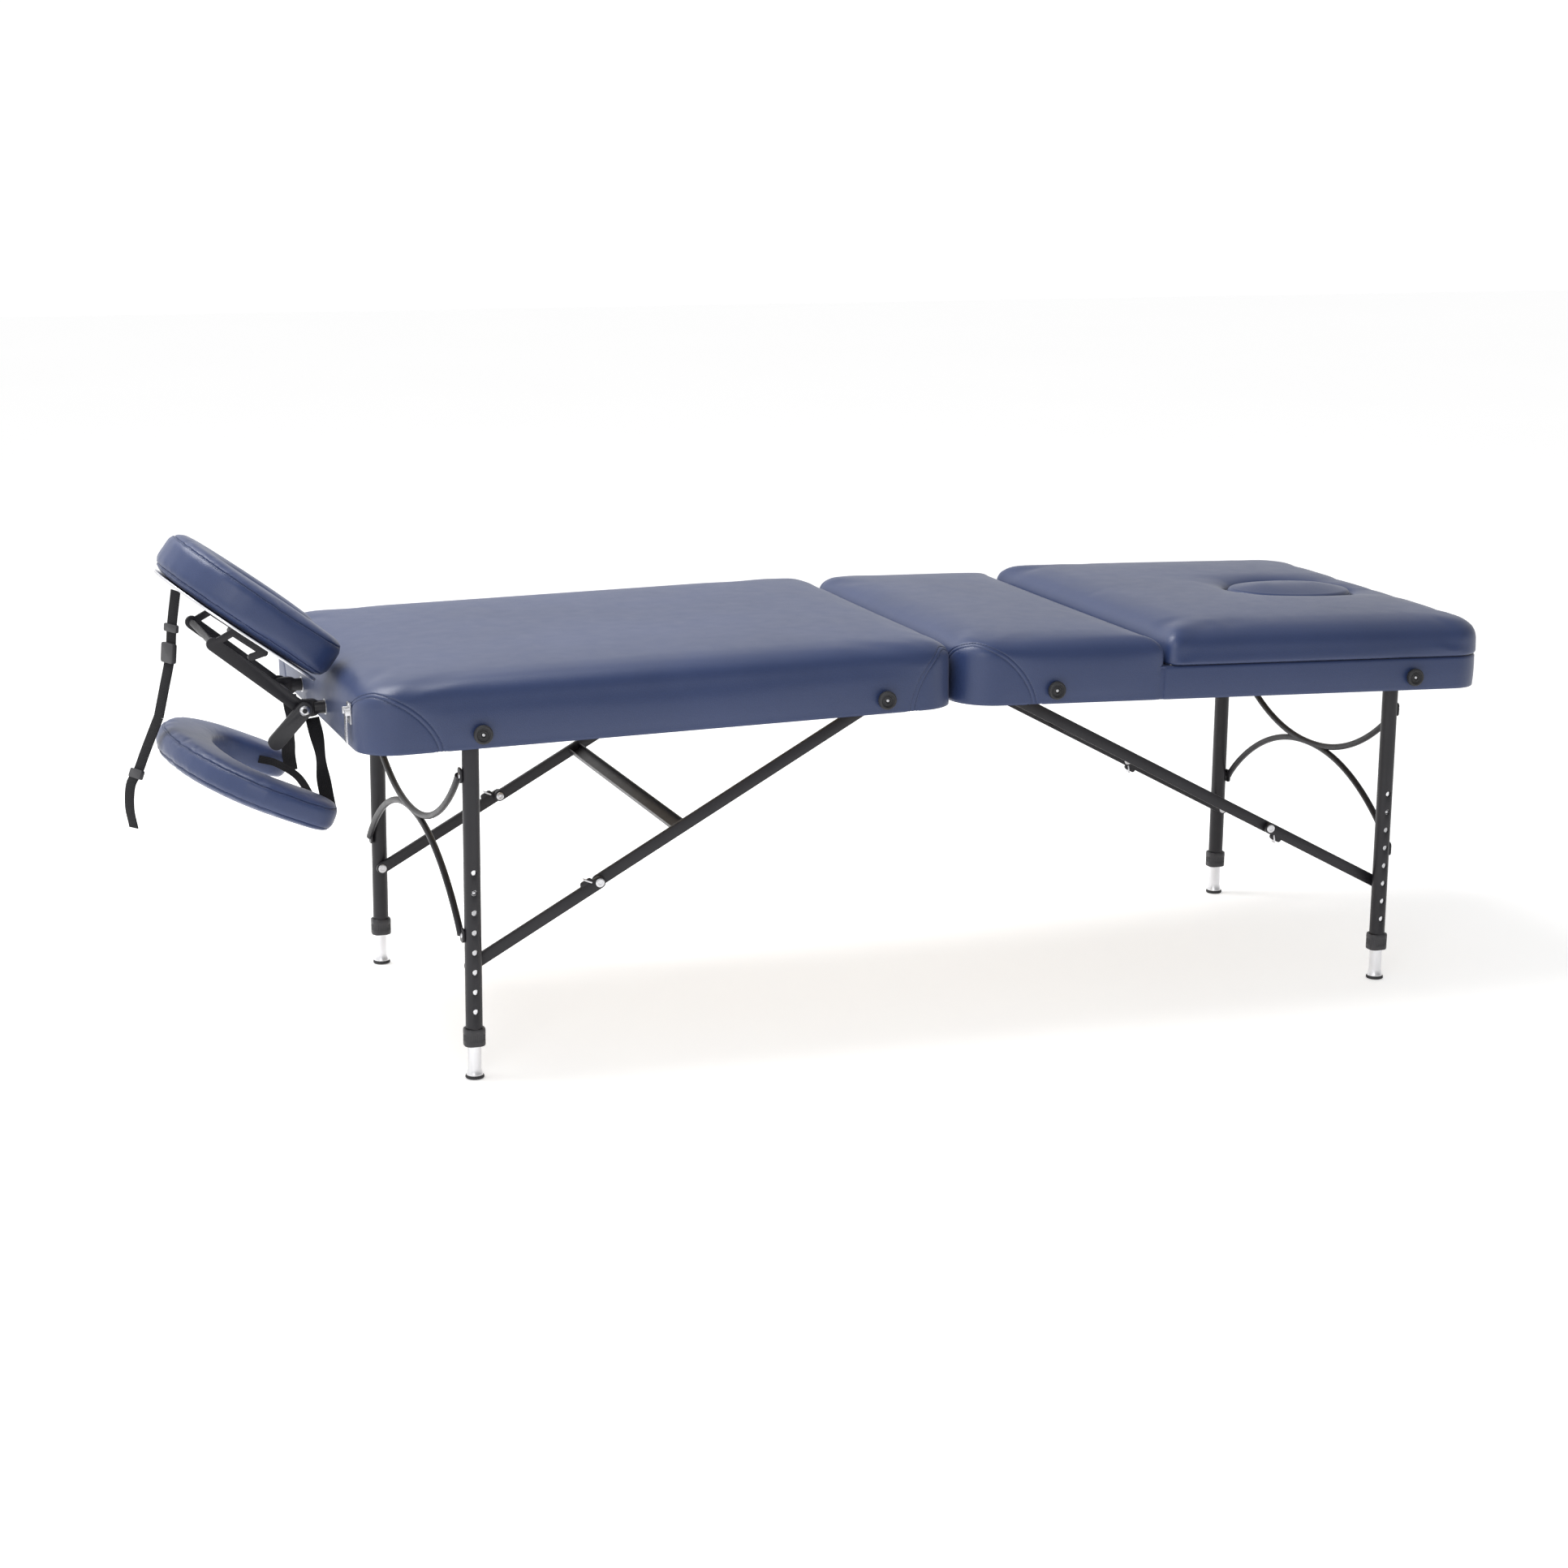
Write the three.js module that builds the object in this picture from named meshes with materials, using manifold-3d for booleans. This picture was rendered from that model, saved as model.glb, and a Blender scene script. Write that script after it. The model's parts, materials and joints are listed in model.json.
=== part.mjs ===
// A portable massage table: two hinged halves that close like a suitcase, folding telescopic legs with knee
// braces, a lifting backrest with a face-hole plug, a face cradle on two pegs and an armrest hung on straps.
// Millimetres, +Z up. X runs along the table with the face cradle at -X, and the near long side is -Y.
import * as THREE from "three";
import { mergeVertices } from "three/addons/utils/BufferGeometryUtils.js";
import Module from "manifold-3d";

const wasm = await Module();
wasm.setup();

// ---------------------------------------------------------------- driving dimensions
const GAP = 0.3; // between pieces that touch
const EPS = 1; // how far a cutter runs past a face
const FOLD = { x: -10.5, z: 515 }; // fold line, at the bottom edge of both halves
const HALF_LENGTH = 917; // fold line to table end
const HALF_WIDTH = 340;
const FOLD_CLEARANCE = 2; // each half stops short of the fold line by this
const CORNER_RADIUS = 58;
const CAMBER = { head: 1.1, foot: 1.5 }; // degrees that each half drops away from the fold line
const SKIRT = 3; // upholstery over the rails
const RAIL = 9.7; // side rail thickness
const FRAME_BOTTOM = 2;
const FRAME_TOP = 47;
const BOARD = 5;
const PAD_TOP = 100;
const PAD_ROUNDING = 22;
const HEAD_END_ROUNDING = 38; // the head pad's end edge, below the face cradle
const BACKREST_TOP = 112;
const BACKREST_OVERHANG = 4.5;
const BACKREST_START = 341; // distance of the mid pad's end from the fold line
const PIVOT_HEIGHT = 22; // leg and brace pivots above a half's bottom edge
const LEG_X = 765.6; // both leg frames stand this far from X = 0
const LEG_Y = { head: 311.5, foot: 281.5 }; // the foot legs nest between the head legs
const TUBE_RADIUS = 12.5;
const TUBE_WALL = 1.6;
const TUBE_END = 56; // lower end of the outer tube above the floor
const INNER_RADIUS = 10;
const INNER_WALL = 1.5;
const INNER_TOP = 330;
const HOLE = { radius: 3.6, first: 103.5, pitch: 30, count: 8 };
const BUTTON_HEIGHT = 283.5;
const BRACE_PIN = { head: 166, foot: 160 }; // brace pivots on the legs, above the floor
const BRACE_ROOT = { head: 94.5, foot: 65.5 }; // upper brace pivots, from the fold line
const LINK = { half: 9, thick: 8, pin: 4 };
const PEG = { y: 88, height: 26, radius: 9.8, pivot: 953 };
const SOCKET = { radius: 12, bore: 10.2, inside: 825 }; // from inside the end rail to just past its face
const BATTEN = { u0: 318, u1: 352, halfWidth: 330, bottom: 39 }; // below the seam of mid pad and backrest
const COLLAR = { halfX: 16, halfY: 14, radius: 11, bottom: 50, top: 77 };
const STUD_RADIUS = 8; // leg pivots
const BRACE_BLOCK = { half: 14, thick: 7, foot: 10, strut: 8 };
const PAST = 400; // cutters reach past every edge across the table
const LUG_RADIUS = 13;
const HUB_RADIUS = 15;
const CRADLE = { x: -936, z: 563, tilt: 36, length: 285, width: 300, ring: 95, thick: 68 };
const ARMREST = { x: -945.5, z: 352, tilt: 23, length: 247, width: 460, ring: 92, thick: 50 };

const SIDES = [
  ["near", -1],
  ["far", 1],
];

// ---------------------------------------------------------------- finishes
const finish = (color, roughness, metalness = 0) =>
  new THREE.MeshStandardMaterial({ color, roughness, metalness });
const NAVY = finish(0x34406a, 0.5);
const CHARCOAL = finish(0x38363b, 0.45, 0.4);
const BLACK = finish(0x1b1b1d, 0.6);
const SILVER = finish(0xd8d9dc, 0.3, 0.8);
const WOOD = finish(0xc9a877, 0.7);
const WEBBING = finish(0x26262a, 0.85);

// ---------------------------------------------------------------- solids
function solid(geometry) {
  const bare = geometry.index ? geometry.toNonIndexed() : geometry.clone();
  bare.deleteAttribute("normal");
  bare.deleteAttribute("uv");
  const merged = mergeVertices(bare, 1e-4);
  return new wasm.Manifold(
    new wasm.Mesh({
      numProp: 3,
      vertProperties: new Float32Array(merged.attributes.position.array),
      triVerts: new Uint32Array(merged.index.array),
    }),
  );
}

function geometryOf(body) {
  const { vertProperties, triVerts } = body.getMesh();
  const geometry = new THREE.BufferGeometry()
    .setAttribute("position", new THREE.BufferAttribute(vertProperties, 3))
    .setIndex(new THREE.BufferAttribute(triVerts, 1))
    .toNonIndexed();
  geometry.computeVertexNormals();
  return geometry;
}

const join = (...bodies) => bodies.reduce((a, b) => a.add(b));
const cut = (body, ...tools) => tools.reduce((a, b) => a.subtract(b), body);

function mesh(name, shape, material) {
  const geometry = shape.isBufferGeometry ? shape : geometryOf(shape);
  const made = new THREE.Mesh(geometry, material);
  made.name = name;
  return made;
}

function box(x0, x1, y0, y1, z0, z1) {
  return solid(
    new THREE.BoxGeometry(Math.abs(x1 - x0), Math.abs(y1 - y0), Math.abs(z1 - z0)).translate(
      (x0 + x1) / 2,
      (y0 + y1) / 2,
      (z0 + z1) / 2,
    ),
  );
}

// A plan outline turned up into a solid between two heights.
function prism(shape, z0, z1, curveSegments = 5) {
  const geometry = new THREE.ExtrudeGeometry(shape, {
    depth: z1 - z0,
    bevelEnabled: false,
    curveSegments,
  });
  return solid(geometry.translate(0, 0, z0));
}

// A prism whose upper edge, and lower edge when asked, is rounded.
function cushion(shape, z0, z1, radius, { bothEdges = false, curveSegments = 5, steps = 2 } = {}) {
  const below = bothEdges ? 0 : 2 * radius;
  const geometry = new THREE.ExtrudeGeometry(shape, {
    depth: z1 - z0 + below - 2 * radius,
    bevelThickness: radius,
    bevelSize: radius,
    bevelOffset: -radius,
    bevelSegments: steps,
    curveSegments,
  });
  const body = solid(geometry.translate(0, 0, z0 - below + radius));
  const reach = 2 * HALF_LENGTH;
  return bothEdges ? body : cut(body, box(-reach, reach, -reach, reach, z0 - 3 * radius, z0));
}

// A straight round bar between two points.
function rod(from, to, radius, segments = 12) {
  const a = new THREE.Vector3(...from);
  const b = new THREE.Vector3(...to);
  const turn = new THREE.Quaternion().setFromUnitVectors(
    new THREE.Vector3(0, 1, 0),
    b.clone().sub(a).normalize(),
  );
  const geometry = new THREE.CylinderGeometry(radius, radius, a.distanceTo(b), segments);
  const middle = a.clone().add(b).multiplyScalar(0.5);
  return solid(geometry.applyQuaternion(turn).translate(middle.x, middle.y, middle.z));
}

const alongY = (x, z, radius, y0, y1, segments) => rod([x, y0, z], [x, y1, z], radius, segments);
const upright = (x, y, radius, z0, z1, segments) => rod([x, y, z0], [x, y, z1], radius, segments);

// A flat bar with round ends in the XZ plane, between two pivots, from y0 to y1.
function link([x0, z0], [x1, z1], half, y0, y1) {
  const length = Math.hypot(x1 - x0, z1 - z0);
  const shape = new THREE.Shape();
  shape.absarc(0, 0, half, Math.PI / 2, (3 * Math.PI) / 2, false);
  shape.absarc(length, 0, half, -Math.PI / 2, Math.PI / 2, false);
  const geometry = new THREE.ExtrudeGeometry(shape, {
    depth: y1 - y0,
    bevelEnabled: false,
    curveSegments: 4,
  });
  geometry.rotateX(Math.PI / 2).translate(0, y1, 0); // the shape's y becomes z, its depth runs towards -Y
  geometry.rotateY(-Math.atan2(z1 - z0, x1 - x0)).translate(x0, 0, z0);
  return solid(geometry);
}

// ---------------------------------------------------------------- outlines
function roundedRectangle(x0, x1, y0, y1, r) {
  const shape = new THREE.Shape();
  shape.absarc(x1 - r, y1 - r, r, 0, Math.PI / 2, false);
  shape.absarc(x0 + r, y1 - r, r, Math.PI / 2, Math.PI, false);
  shape.absarc(x0 + r, y0 + r, r, Math.PI, (3 * Math.PI) / 2, false);
  shape.absarc(x1 - r, y0 + r, r, (3 * Math.PI) / 2, 2 * Math.PI, false);
  return shape;
}

// A deck outline from u0 to u1, measured from the fold line towards the table end on one side.
function plan(sign, u0, u1, halfWidth, radius = CORNER_RADIUS) {
  const [x0, x1] = [sign * u0, sign * u1].sort((a, b) => a - b);
  return roundedRectangle(x0, x1, -halfWidth, halfWidth, radius);
}

const deckBox = (sign, u0, u1, y0, y1, z0, z1) => box(sign * u0, sign * u1, y0, y1, z0, z1);

function ellipse(x, y, a, b) {
  const shape = new THREE.Shape();
  shape.absellipse(x, y, a, b, 0, 2 * Math.PI, false, 0);
  return shape;
}

// A horseshoe open towards x = 0, with its round end at x = -length.
function horseshoe({ length, width, ring }) {
  const outer = width / 2;
  const inner = outer - ring;
  const depth = Math.min(outer, length - ring);
  const tip = ring / 2;
  const shape = new THREE.Shape();
  const centre = -(length - depth);
  shape.absellipse(centre, 0, depth, outer, Math.PI / 2, (3 * Math.PI) / 2, false, 0);
  shape.absarc(-tip, -(outer - tip), tip, -Math.PI / 2, Math.PI / 2, false);
  shape.absellipse(centre, 0, depth - ring, inner, (3 * Math.PI) / 2, Math.PI / 2, true, 0);
  shape.absarc(-tip, outer - tip, tip, -Math.PI / 2, Math.PI / 2, false);
  return shape;
}

// ---------------------------------------------------------------- scene graph
const table = new THREE.Group();

function deckGroup(sign, camber) {
  const group = new THREE.Group();
  group.position.set(FOLD.x, 0, FOLD.z);
  group.rotation.y = sign * THREE.MathUtils.degToRad(camber);
  group.updateMatrixWorld(true);
  table.add(group);
  return group;
}

const HEAD = { name: "head", sign: -1, deck: deckGroup(-1, CAMBER.head) };
const FOOT = { name: "foot", sign: 1, deck: deckGroup(1, CAMBER.foot) };

// A point of a half, given from the fold line and above its bottom edge, in the table's frame.
function deckPoint(half, u, height) {
  const point = new THREE.Vector3(half.sign * u, 0, height).applyMatrix4(half.deck.matrixWorld);
  return [point.x, point.z];
}

// ---------------------------------------------------------------- decks
const FRAME_INSET = SKIRT + GAP;
const FRAME_START = FOLD_CLEARANCE + FRAME_INSET;
const FRAME_END = HALF_LENGTH - FRAME_INSET;
const FRAME_HALF_WIDTH = HALF_WIDTH - FRAME_INSET;
const END_RAIL = 14;
const HINGE_HALF_LENGTH = 270;
const HINGE_LEAF = { top: 1.6, bottom: 0.4, width: 28 };

function railRing(sign) {
  const outside = plan(sign, FRAME_START, FRAME_END, FRAME_HALF_WIDTH, CORNER_RADIUS - FRAME_INSET);
  outside.holes.push(
    plan(sign, FRAME_START + END_RAIL, FRAME_END - END_RAIL, FRAME_HALF_WIDTH - RAIL, 40),
  );
  return prism(outside, FRAME_BOTTOM, FRAME_TOP);
}

// Pivot studs that carry the legs: from the side rails to just short of the leg tubes.
function legStuds(half) {
  const u = Math.abs(half.sign * LEG_X - FOLD.x);
  const inner = LEG_Y[half.name] + TUBE_RADIUS + GAP;
  return SIDES.map(([, side]) =>
    alongY(half.sign * u, PIVOT_HEIGHT, STUD_RADIUS, side * inner, side * (FRAME_HALF_WIDTH - 1)),
  );
}

// Blocks inside the rails that carry the upper brace pivots.
function braceBlocks(half) {
  const u = BRACE_ROOT[half.name];
  const inner = braceLayers(half).upperY[1] + 1.2;
  return SIDES.map(([, side]) => {
    const { half: reach, thick, foot, strut: depth } = BRACE_BLOCK;
    const plate = deckBox(
      half.sign, u - reach, u + reach, side * inner, side * (inner + thick), PIVOT_HEIGHT - foot, FRAME_TOP,
    );
    const strut = deckBox(
      half.sign, u - reach, u + reach, side * inner, side * (FRAME_HALF_WIDTH - 1), FRAME_TOP - depth, FRAME_TOP,
    );
    return join(plate, strut);
  });
}

function head() {
  const { sign, deck } = HEAD;
  const pegHoles = SIDES.map(([, side]) =>
    rod(
      [sign * (FRAME_END - END_RAIL - EPS), side * PEG.y, PEG.height],
      [sign * (HALF_LENGTH + EPS), side * PEG.y, PEG.height],
      SOCKET.radius + 2 * GAP,
      20,
    ),
  );
  const frame = cut(join(railRing(sign), ...legStuds(HEAD), ...braceBlocks(HEAD)), ...pegHoles);
  deck.add(mesh("head_frame", frame, WOOD));

  const boardPlan = plan(
    sign, FRAME_START, FRAME_END, FRAME_HALF_WIDTH, CORNER_RADIUS - FRAME_INSET,
  );
  deck.add(mesh("head_board", prism(boardPlan, FRAME_TOP + GAP, FRAME_TOP + GAP + BOARD), WOOD));

  const outside = cushion(
    plan(sign, FOLD_CLEARANCE, HALF_LENGTH, HALF_WIDTH), 0, PAD_TOP, PAD_ROUNDING,
  );
  const hollow = prism(
    plan(sign, FOLD_CLEARANCE + SKIRT, HALF_LENGTH - SKIRT, HALF_WIDTH - SKIRT, CORNER_RADIUS - SKIRT),
    -EPS, FRAME_TOP + BOARD + 2 * GAP,
  );
  const pad = cut(outside, hollow, hingeNotch(sign), endRounding(sign), ...pegHoles);
  deck.add(mesh("head_pad", pad, NAVY));
}

// What the large rounding takes off the head pad's end edge.
function endRounding(sign) {
  const r = HEAD_END_ROUNDING;
  const [u, w] = [HALF_LENGTH - r, PAD_TOP - r];
  const corner = deckBox(sign, u, HALF_LENGTH + EPS, -PAST, PAST, w, PAD_TOP + EPS);
  return cut(corner, alongY(sign * u, w, r, -PAST - EPS, PAST + EPS, 40));
}

const hingeNotch = (sign) =>
  deckBox(
    sign, -EPS, FOLD_CLEARANCE + SKIRT + EPS,
    -HINGE_HALF_LENGTH - 1, HINGE_HALF_LENGTH + 1, -EPS, FRAME_BOTTOM + GAP,
  );

function foot() {
  const { sign, deck } = FOOT;
  const seamBatten = deckBox(
    sign, BATTEN.u0, BATTEN.u1, -BATTEN.halfWidth, BATTEN.halfWidth, BATTEN.bottom, FRAME_TOP,
  );
  const midEnd = BACKREST_START - 1.5;
  const midPanel = cut(
    prism(
      plan(sign, FRAME_START, 2 * midEnd, FRAME_HALF_WIDTH, CORNER_RADIUS - FRAME_INSET),
      FRAME_TOP - EPS, FRAME_TOP + BOARD,
    ),
    deckBox(sign, midEnd, 3 * midEnd, -PAST, PAST, -EPS, BACKREST_TOP),
  );
  const fittings = [...legStuds(FOOT), ...braceBlocks(FOOT)];
  deck.add(mesh("foot_frame", join(railRing(sign), seamBatten, midPanel, ...fittings), WOOD));

  const midPlan = plan(sign, FOLD_CLEARANCE, midEnd, HALF_WIDTH, 24);
  const outside = cushion(midPlan, 0, PAD_TOP, PAD_ROUNDING);
  const hollow = prism(
    plan(sign, FOLD_CLEARANCE + SKIRT, 2 * midEnd, HALF_WIDTH - SKIRT, 20),
    -EPS, FRAME_TOP + BOARD + 2 * GAP,
  );
  deck.add(mesh("mid_pad", cut(outside, hollow, hingeNotch(sign)), NAVY));

  const bandTop = FRAME_TOP + BOARD;
  const bandOutside = prism(plan(sign, 100, HALF_LENGTH, HALF_WIDTH, CORNER_RADIUS), 0, bandTop);
  const bandHollow = prism(
    plan(sign, 50, HALF_LENGTH - SKIRT, HALF_WIDTH - SKIRT, CORNER_RADIUS - SKIRT),
    -EPS, FRAME_TOP + GAP,
  );
  const bandOpening = prism(
    plan(sign, 50, HALF_LENGTH - END_RAIL - SKIRT, HALF_WIDTH - RAIL - SKIRT, 40),
    FRAME_TOP, bandTop + EPS,
  );
  const towardsFold = deckBox(sign, 0, midEnd + GAP, -PAST, PAST, -EPS, bandTop + EPS);
  deck.add(mesh("base_cover", cut(bandOutside, bandHollow, bandOpening, towardsFold), NAVY));
}

// ---------------------------------------------------------------- fold hinge
const KNUCKLE = { radius: 2, pin: 0.9, drop: -1.5, count: 7, sides: 10 };

// Two leaves with interleaved knuckles; the pin is fixed in the head leaf's knuckles.
function foldHinge() {
  const pitch = (2 * HINGE_HALF_LENGTH) / KNUCKLE.count;
  const barrel = (radius, reach) => alongY(0, KNUCKLE.drop, radius, -reach, reach, KNUCKLE.sides);
  const bore = barrel(KNUCKLE.pin + GAP, HINGE_HALF_LENGTH + 2);
  const pin = barrel(KNUCKLE.pin, HINGE_HALF_LENGTH);
  for (const [half, parity] of [
    [HEAD, 0],
    [FOOT, 1],
  ]) {
    const { sign, deck, name } = half;
    const plate = deckBox(
      sign, 1.2, HINGE_LEAF.width, -HINGE_HALF_LENGTH, HINGE_HALF_LENGTH, HINGE_LEAF.bottom, HINGE_LEAF.top,
    );
    const knuckles = [];
    for (let i = parity; i < KNUCKLE.count; i += 2) {
      const y0 = -HINGE_HALF_LENGTH + i * pitch + GAP;
      const y1 = y0 + pitch - 2 * GAP;
      knuckles.push(alongY(0, KNUCKLE.drop, KNUCKLE.radius, y0, y1, KNUCKLE.sides));
      knuckles.push(deckBox(sign, 0.9, 2.4, y0, y1, KNUCKLE.drop, HINGE_LEAF.top));
    }
    const free = [];
    for (let i = 1 - parity; i < KNUCKLE.count; i += 2) {
      const y0 = -HINGE_HALF_LENGTH + i * pitch;
      free.push(deckBox(sign, -1, KNUCKLE.radius + 0.6, y0, y0 + pitch, -4, 3));
    }
    const leaf = cut(join(plate, ...knuckles), ...free);
    deck.add(mesh(`${name}_hinge_leaf`, parity ? cut(leaf, bore) : join(leaf, pin), SILVER));
  }
}

// ---------------------------------------------------------------- bumpers, handles and latch
function bumpers(half, places) {
  for (const [label, u] of places) {
    const y = -HALF_WIDTH - GAP;
    const base = alongY(half.sign * u, PIVOT_HEIGHT, 12, y, y - 3, 16);
    const cap = alongY(half.sign * u, PIVOT_HEIGHT, 14, y - 3, y - 11, 16);
    half.deck.add(mesh(`${half.name}_bumper_${label}`, join(base, cap), BLACK));
  }
}

function carryHandle(half) {
  const [u0, u1] = [400, 520];
  const y = HALF_WIDTH + GAP;
  const grip = deckBox(half.sign, u0, u1, y + 7, y + 11, 14, 38);
  const ends = [u0, u1 - 8].map((u) => deckBox(half.sign, u, u + 8, y, y + 11, 14, 38));
  const tabs = [u0 - 16, u1 - 8].map((u) => deckBox(half.sign, u, u + 24, y, y + 3, 14, 38));
  half.deck.add(mesh(`${half.name}_carry_handle`, join(grip, ...ends, ...tabs), WEBBING));
}

const LATCH = { y: -262, top: 54, length: 46 };

function latch() {
  const face = HALF_LENGTH + GAP;
  const plate = deckBox(-1, face, face + 2, LATCH.y - 12, LATCH.y + 12, 36, 66);
  const ears = [-11, 8].map((dy) =>
    deckBox(-1, face, face + 9, LATCH.y + dy, LATCH.y + dy + 3, LATCH.top - 5, LATCH.top + 5),
  );
  HEAD.deck.add(mesh("latch_plate", join(plate, ...ears), SILVER));

  const [x, z] = deckPoint(HEAD, face + 6, LATCH.top); // the hasp hangs straight down from here
  const pin = alongY(x, z, 2, LATCH.y - 7.5, LATCH.y + 7.5, 10);
  const arm = box(x - 1.2, x + 1.2, LATCH.y - 6, LATCH.y + 6, z - LATCH.length, z);
  const window = box(x - 3, x + 3, LATCH.y - 3, LATCH.y + 3, z - LATCH.length + 4, z - 20);
  table.add(mesh("latch_hasp", cut(join(pin, arm), window), SILVER));

  const keeper = join(
    deckBox(1, face, face + 2, LATCH.y - 12, LATCH.y + 12, 8, 34),
    deckBox(1, face, face + 5, LATCH.y - 2, LATCH.y + 2, 17, 25),
  );
  FOOT.deck.add(mesh("latch_keeper", keeper, SILVER));
}

// ---------------------------------------------------------------- legs
function outerTube(x, y, top, side) {
  const bore = TUBE_RADIUS - TUBE_WALL;
  const body = upright(x, y, TUBE_RADIUS, TUBE_END, top, 16);
  const hollow = upright(x, y, bore, TUBE_END - EPS, top - 30, 16);
  const holes = [];
  for (let i = 0; i < HOLE.count; i += 1) {
    const z = HOLE.first + i * HOLE.pitch;
    holes.push(alongY(x, z, HOLE.radius, y, y + side * 20, 8));
  }
  return cut(body, hollow, ...holes);
}

function collar(x, y) {
  const outline = roundedRectangle(
    x - COLLAR.halfX, x + COLLAR.halfX, y - COLLAR.halfY, y + COLLAR.halfY, COLLAR.radius,
  );
  const body = prism(outline, COLLAR.bottom, COLLAR.top, 2);
  const seat = upright(x, y, TUBE_RADIUS + GAP, TUBE_END - GAP, COLLAR.top + EPS, 16);
  const guide = upright(x, y, INNER_RADIUS + GAP, COLLAR.bottom - EPS, TUBE_END, 16);
  return cut(body, seat, guide);
}

function innerTube(x, y, side) {
  const body = upright(x, y, INNER_RADIUS, 5 + GAP, INNER_TOP, 16);
  const bore = upright(x, y, INNER_RADIUS - INNER_WALL, 4, INNER_TOP + EPS, 16);
  const hole = alongY(x, BUTTON_HEIGHT, 3.6, y, y + side * 14, 10);
  return cut(body, bore, hole);
}

function rubberFoot(x, y) {
  const plug = INNER_RADIUS - INNER_WALL - 2 * GAP;
  const profile = [[0, 0], [13.4, 0], [14, 1], [14, 4], [13, 5], [plug, 5], [plug, 22], [0, 22]];
  const geometry = new THREE.LatheGeometry(profile.map(([r, z]) => new THREE.Vector2(r, z)), 16);
  return geometry.rotateX(Math.PI / 2).translate(x, y, 0);
}

// A bent spring strip inside the inner tube, with the button that shows in the outer tube's hole.
function lockButton(x, y, side) {
  const tip = TUBE_RADIUS - TUBE_WALL - 0.9; // just inside the outer tube's bore
  const button = alongY(x, BUTTON_HEIGHT, 3.2, y + side * 4, y + side * tip, 14);
  const strip = box(x - 3, x + 3, y + side * 3.4, y + side * 4.4, 232, BUTTON_HEIGHT + 8);
  const heel = box(x - 3, x + 3, y - side * 4.4, y + side * 4.4, 231, 232.2);
  return join(button, strip, heel);
}

const ARCH = { offset: TUBE_RADIUS + GAP + 4, x: 4, z: 6.5, tab: 12 };

// One bowed bar across a leg frame; its ends lap the outer faces of the legs.
function bowedBar(x, legY, endZ, middleZ) {
  const points = [];
  const steps = 12;
  const reach = legY - 6;
  for (let i = 0; i <= steps; i += 1) {
    const t = -1 + (2 * i) / steps;
    const y = reach * Math.sin((t * Math.PI) / 2);
    const blend = (1 - Math.abs(y / reach) ** 2.1) ** 0.9;
    points.push(new THREE.Vector3(x, y, endZ + (middleZ - endZ) * blend));
  }
  const curve = new THREE.CatmullRomCurve3(points, false, "centripetal");
  const section = roundedRectangle(-ARCH.x, ARCH.x, -ARCH.z, ARCH.z, 3);
  const bar = new THREE.ExtrudeGeometry(section, {
    steps: 14,
    extrudePath: curve,
    curveSegments: 1,
  });
  const tabs = SIDES.map(([, side]) =>
    box(x - ARCH.x, x + ARCH.x, side * (reach - 8), side * (legY + 4), endZ - ARCH.tab, endZ + ARCH.tab),
  );
  return join(solid(bar), ...tabs);
}

function legFrame(half) {
  const x = half.sign * LEG_X;
  const legY = LEG_Y[half.name];
  const hingeZ = deckPoint(half, Math.abs(x - FOLD.x), PIVOT_HEIGHT)[1];
  const group = new THREE.Group();
  table.add(group);
  for (const [label, side] of SIDES) {
    const y = side * legY;
    group.add(mesh(`${half.name}_leg_${label}`, outerTube(x, y, hingeZ + 11, side), CHARCOAL));
    group.add(mesh(`${half.name}_collar_${label}`, collar(x, y), BLACK));
    group.add(mesh(`${half.name}_inner_leg_${label}`, innerTube(x, y, side), SILVER));
    group.add(mesh(`${half.name}_rubber_foot_${label}`, rubberFoot(x, y), BLACK));
    group.add(mesh(`${half.name}_lock_button_${label}`, lockButton(x, y, side), SILVER));
  }
  const archX = x + half.sign * ARCH.offset;
  const arches = join(
    bowedBar(archX, legY, hingeZ - 66, 338),
    bowedBar(archX, legY, 218, 338),
  );
  group.add(mesh(`${half.name}_arched_stretcher`, arches, CHARCOAL));
}

// ---------------------------------------------------------------- knee braces
// How far from the middle the two links of a brace lie: the lower one beside the leg, the upper one inside it.
function braceLayers(half) {
  const face = LEG_Y[half.name] - TUBE_RADIUS - 1;
  const lowerY = [face - LINK.thick, face];
  return { lowerY, upperY: lowerY.map((y) => y - LINK.thick - 1) };
}

// The knee sits where the brace is straight with the leg down, and straight again with the leg folded away.
function kneeBrace(half) {
  const hingeU = Math.abs(half.sign * LEG_X - FOLD.x);
  const hinge = deckPoint(half, hingeU, PIVOT_HEIGHT);
  const root = deckPoint(half, BRACE_ROOT[half.name], PIVOT_HEIGHT);
  const pin = [half.sign * LEG_X, BRACE_PIN[half.name]];
  const open = Math.hypot(root[0] - pin[0], root[1] - pin[1]);
  const closed = hingeU - (hinge[1] - pin[1]) - BRACE_ROOT[half.name];
  const lower = (open - closed) / 2;
  const at = (t) => [pin[0] + (root[0] - pin[0]) * t, pin[1] + (root[1] - pin[1]) * t];
  return { root, pin, knee: at(lower / open), cross: at((lower + (open - lower) * 0.28) / open) };
}

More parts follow.
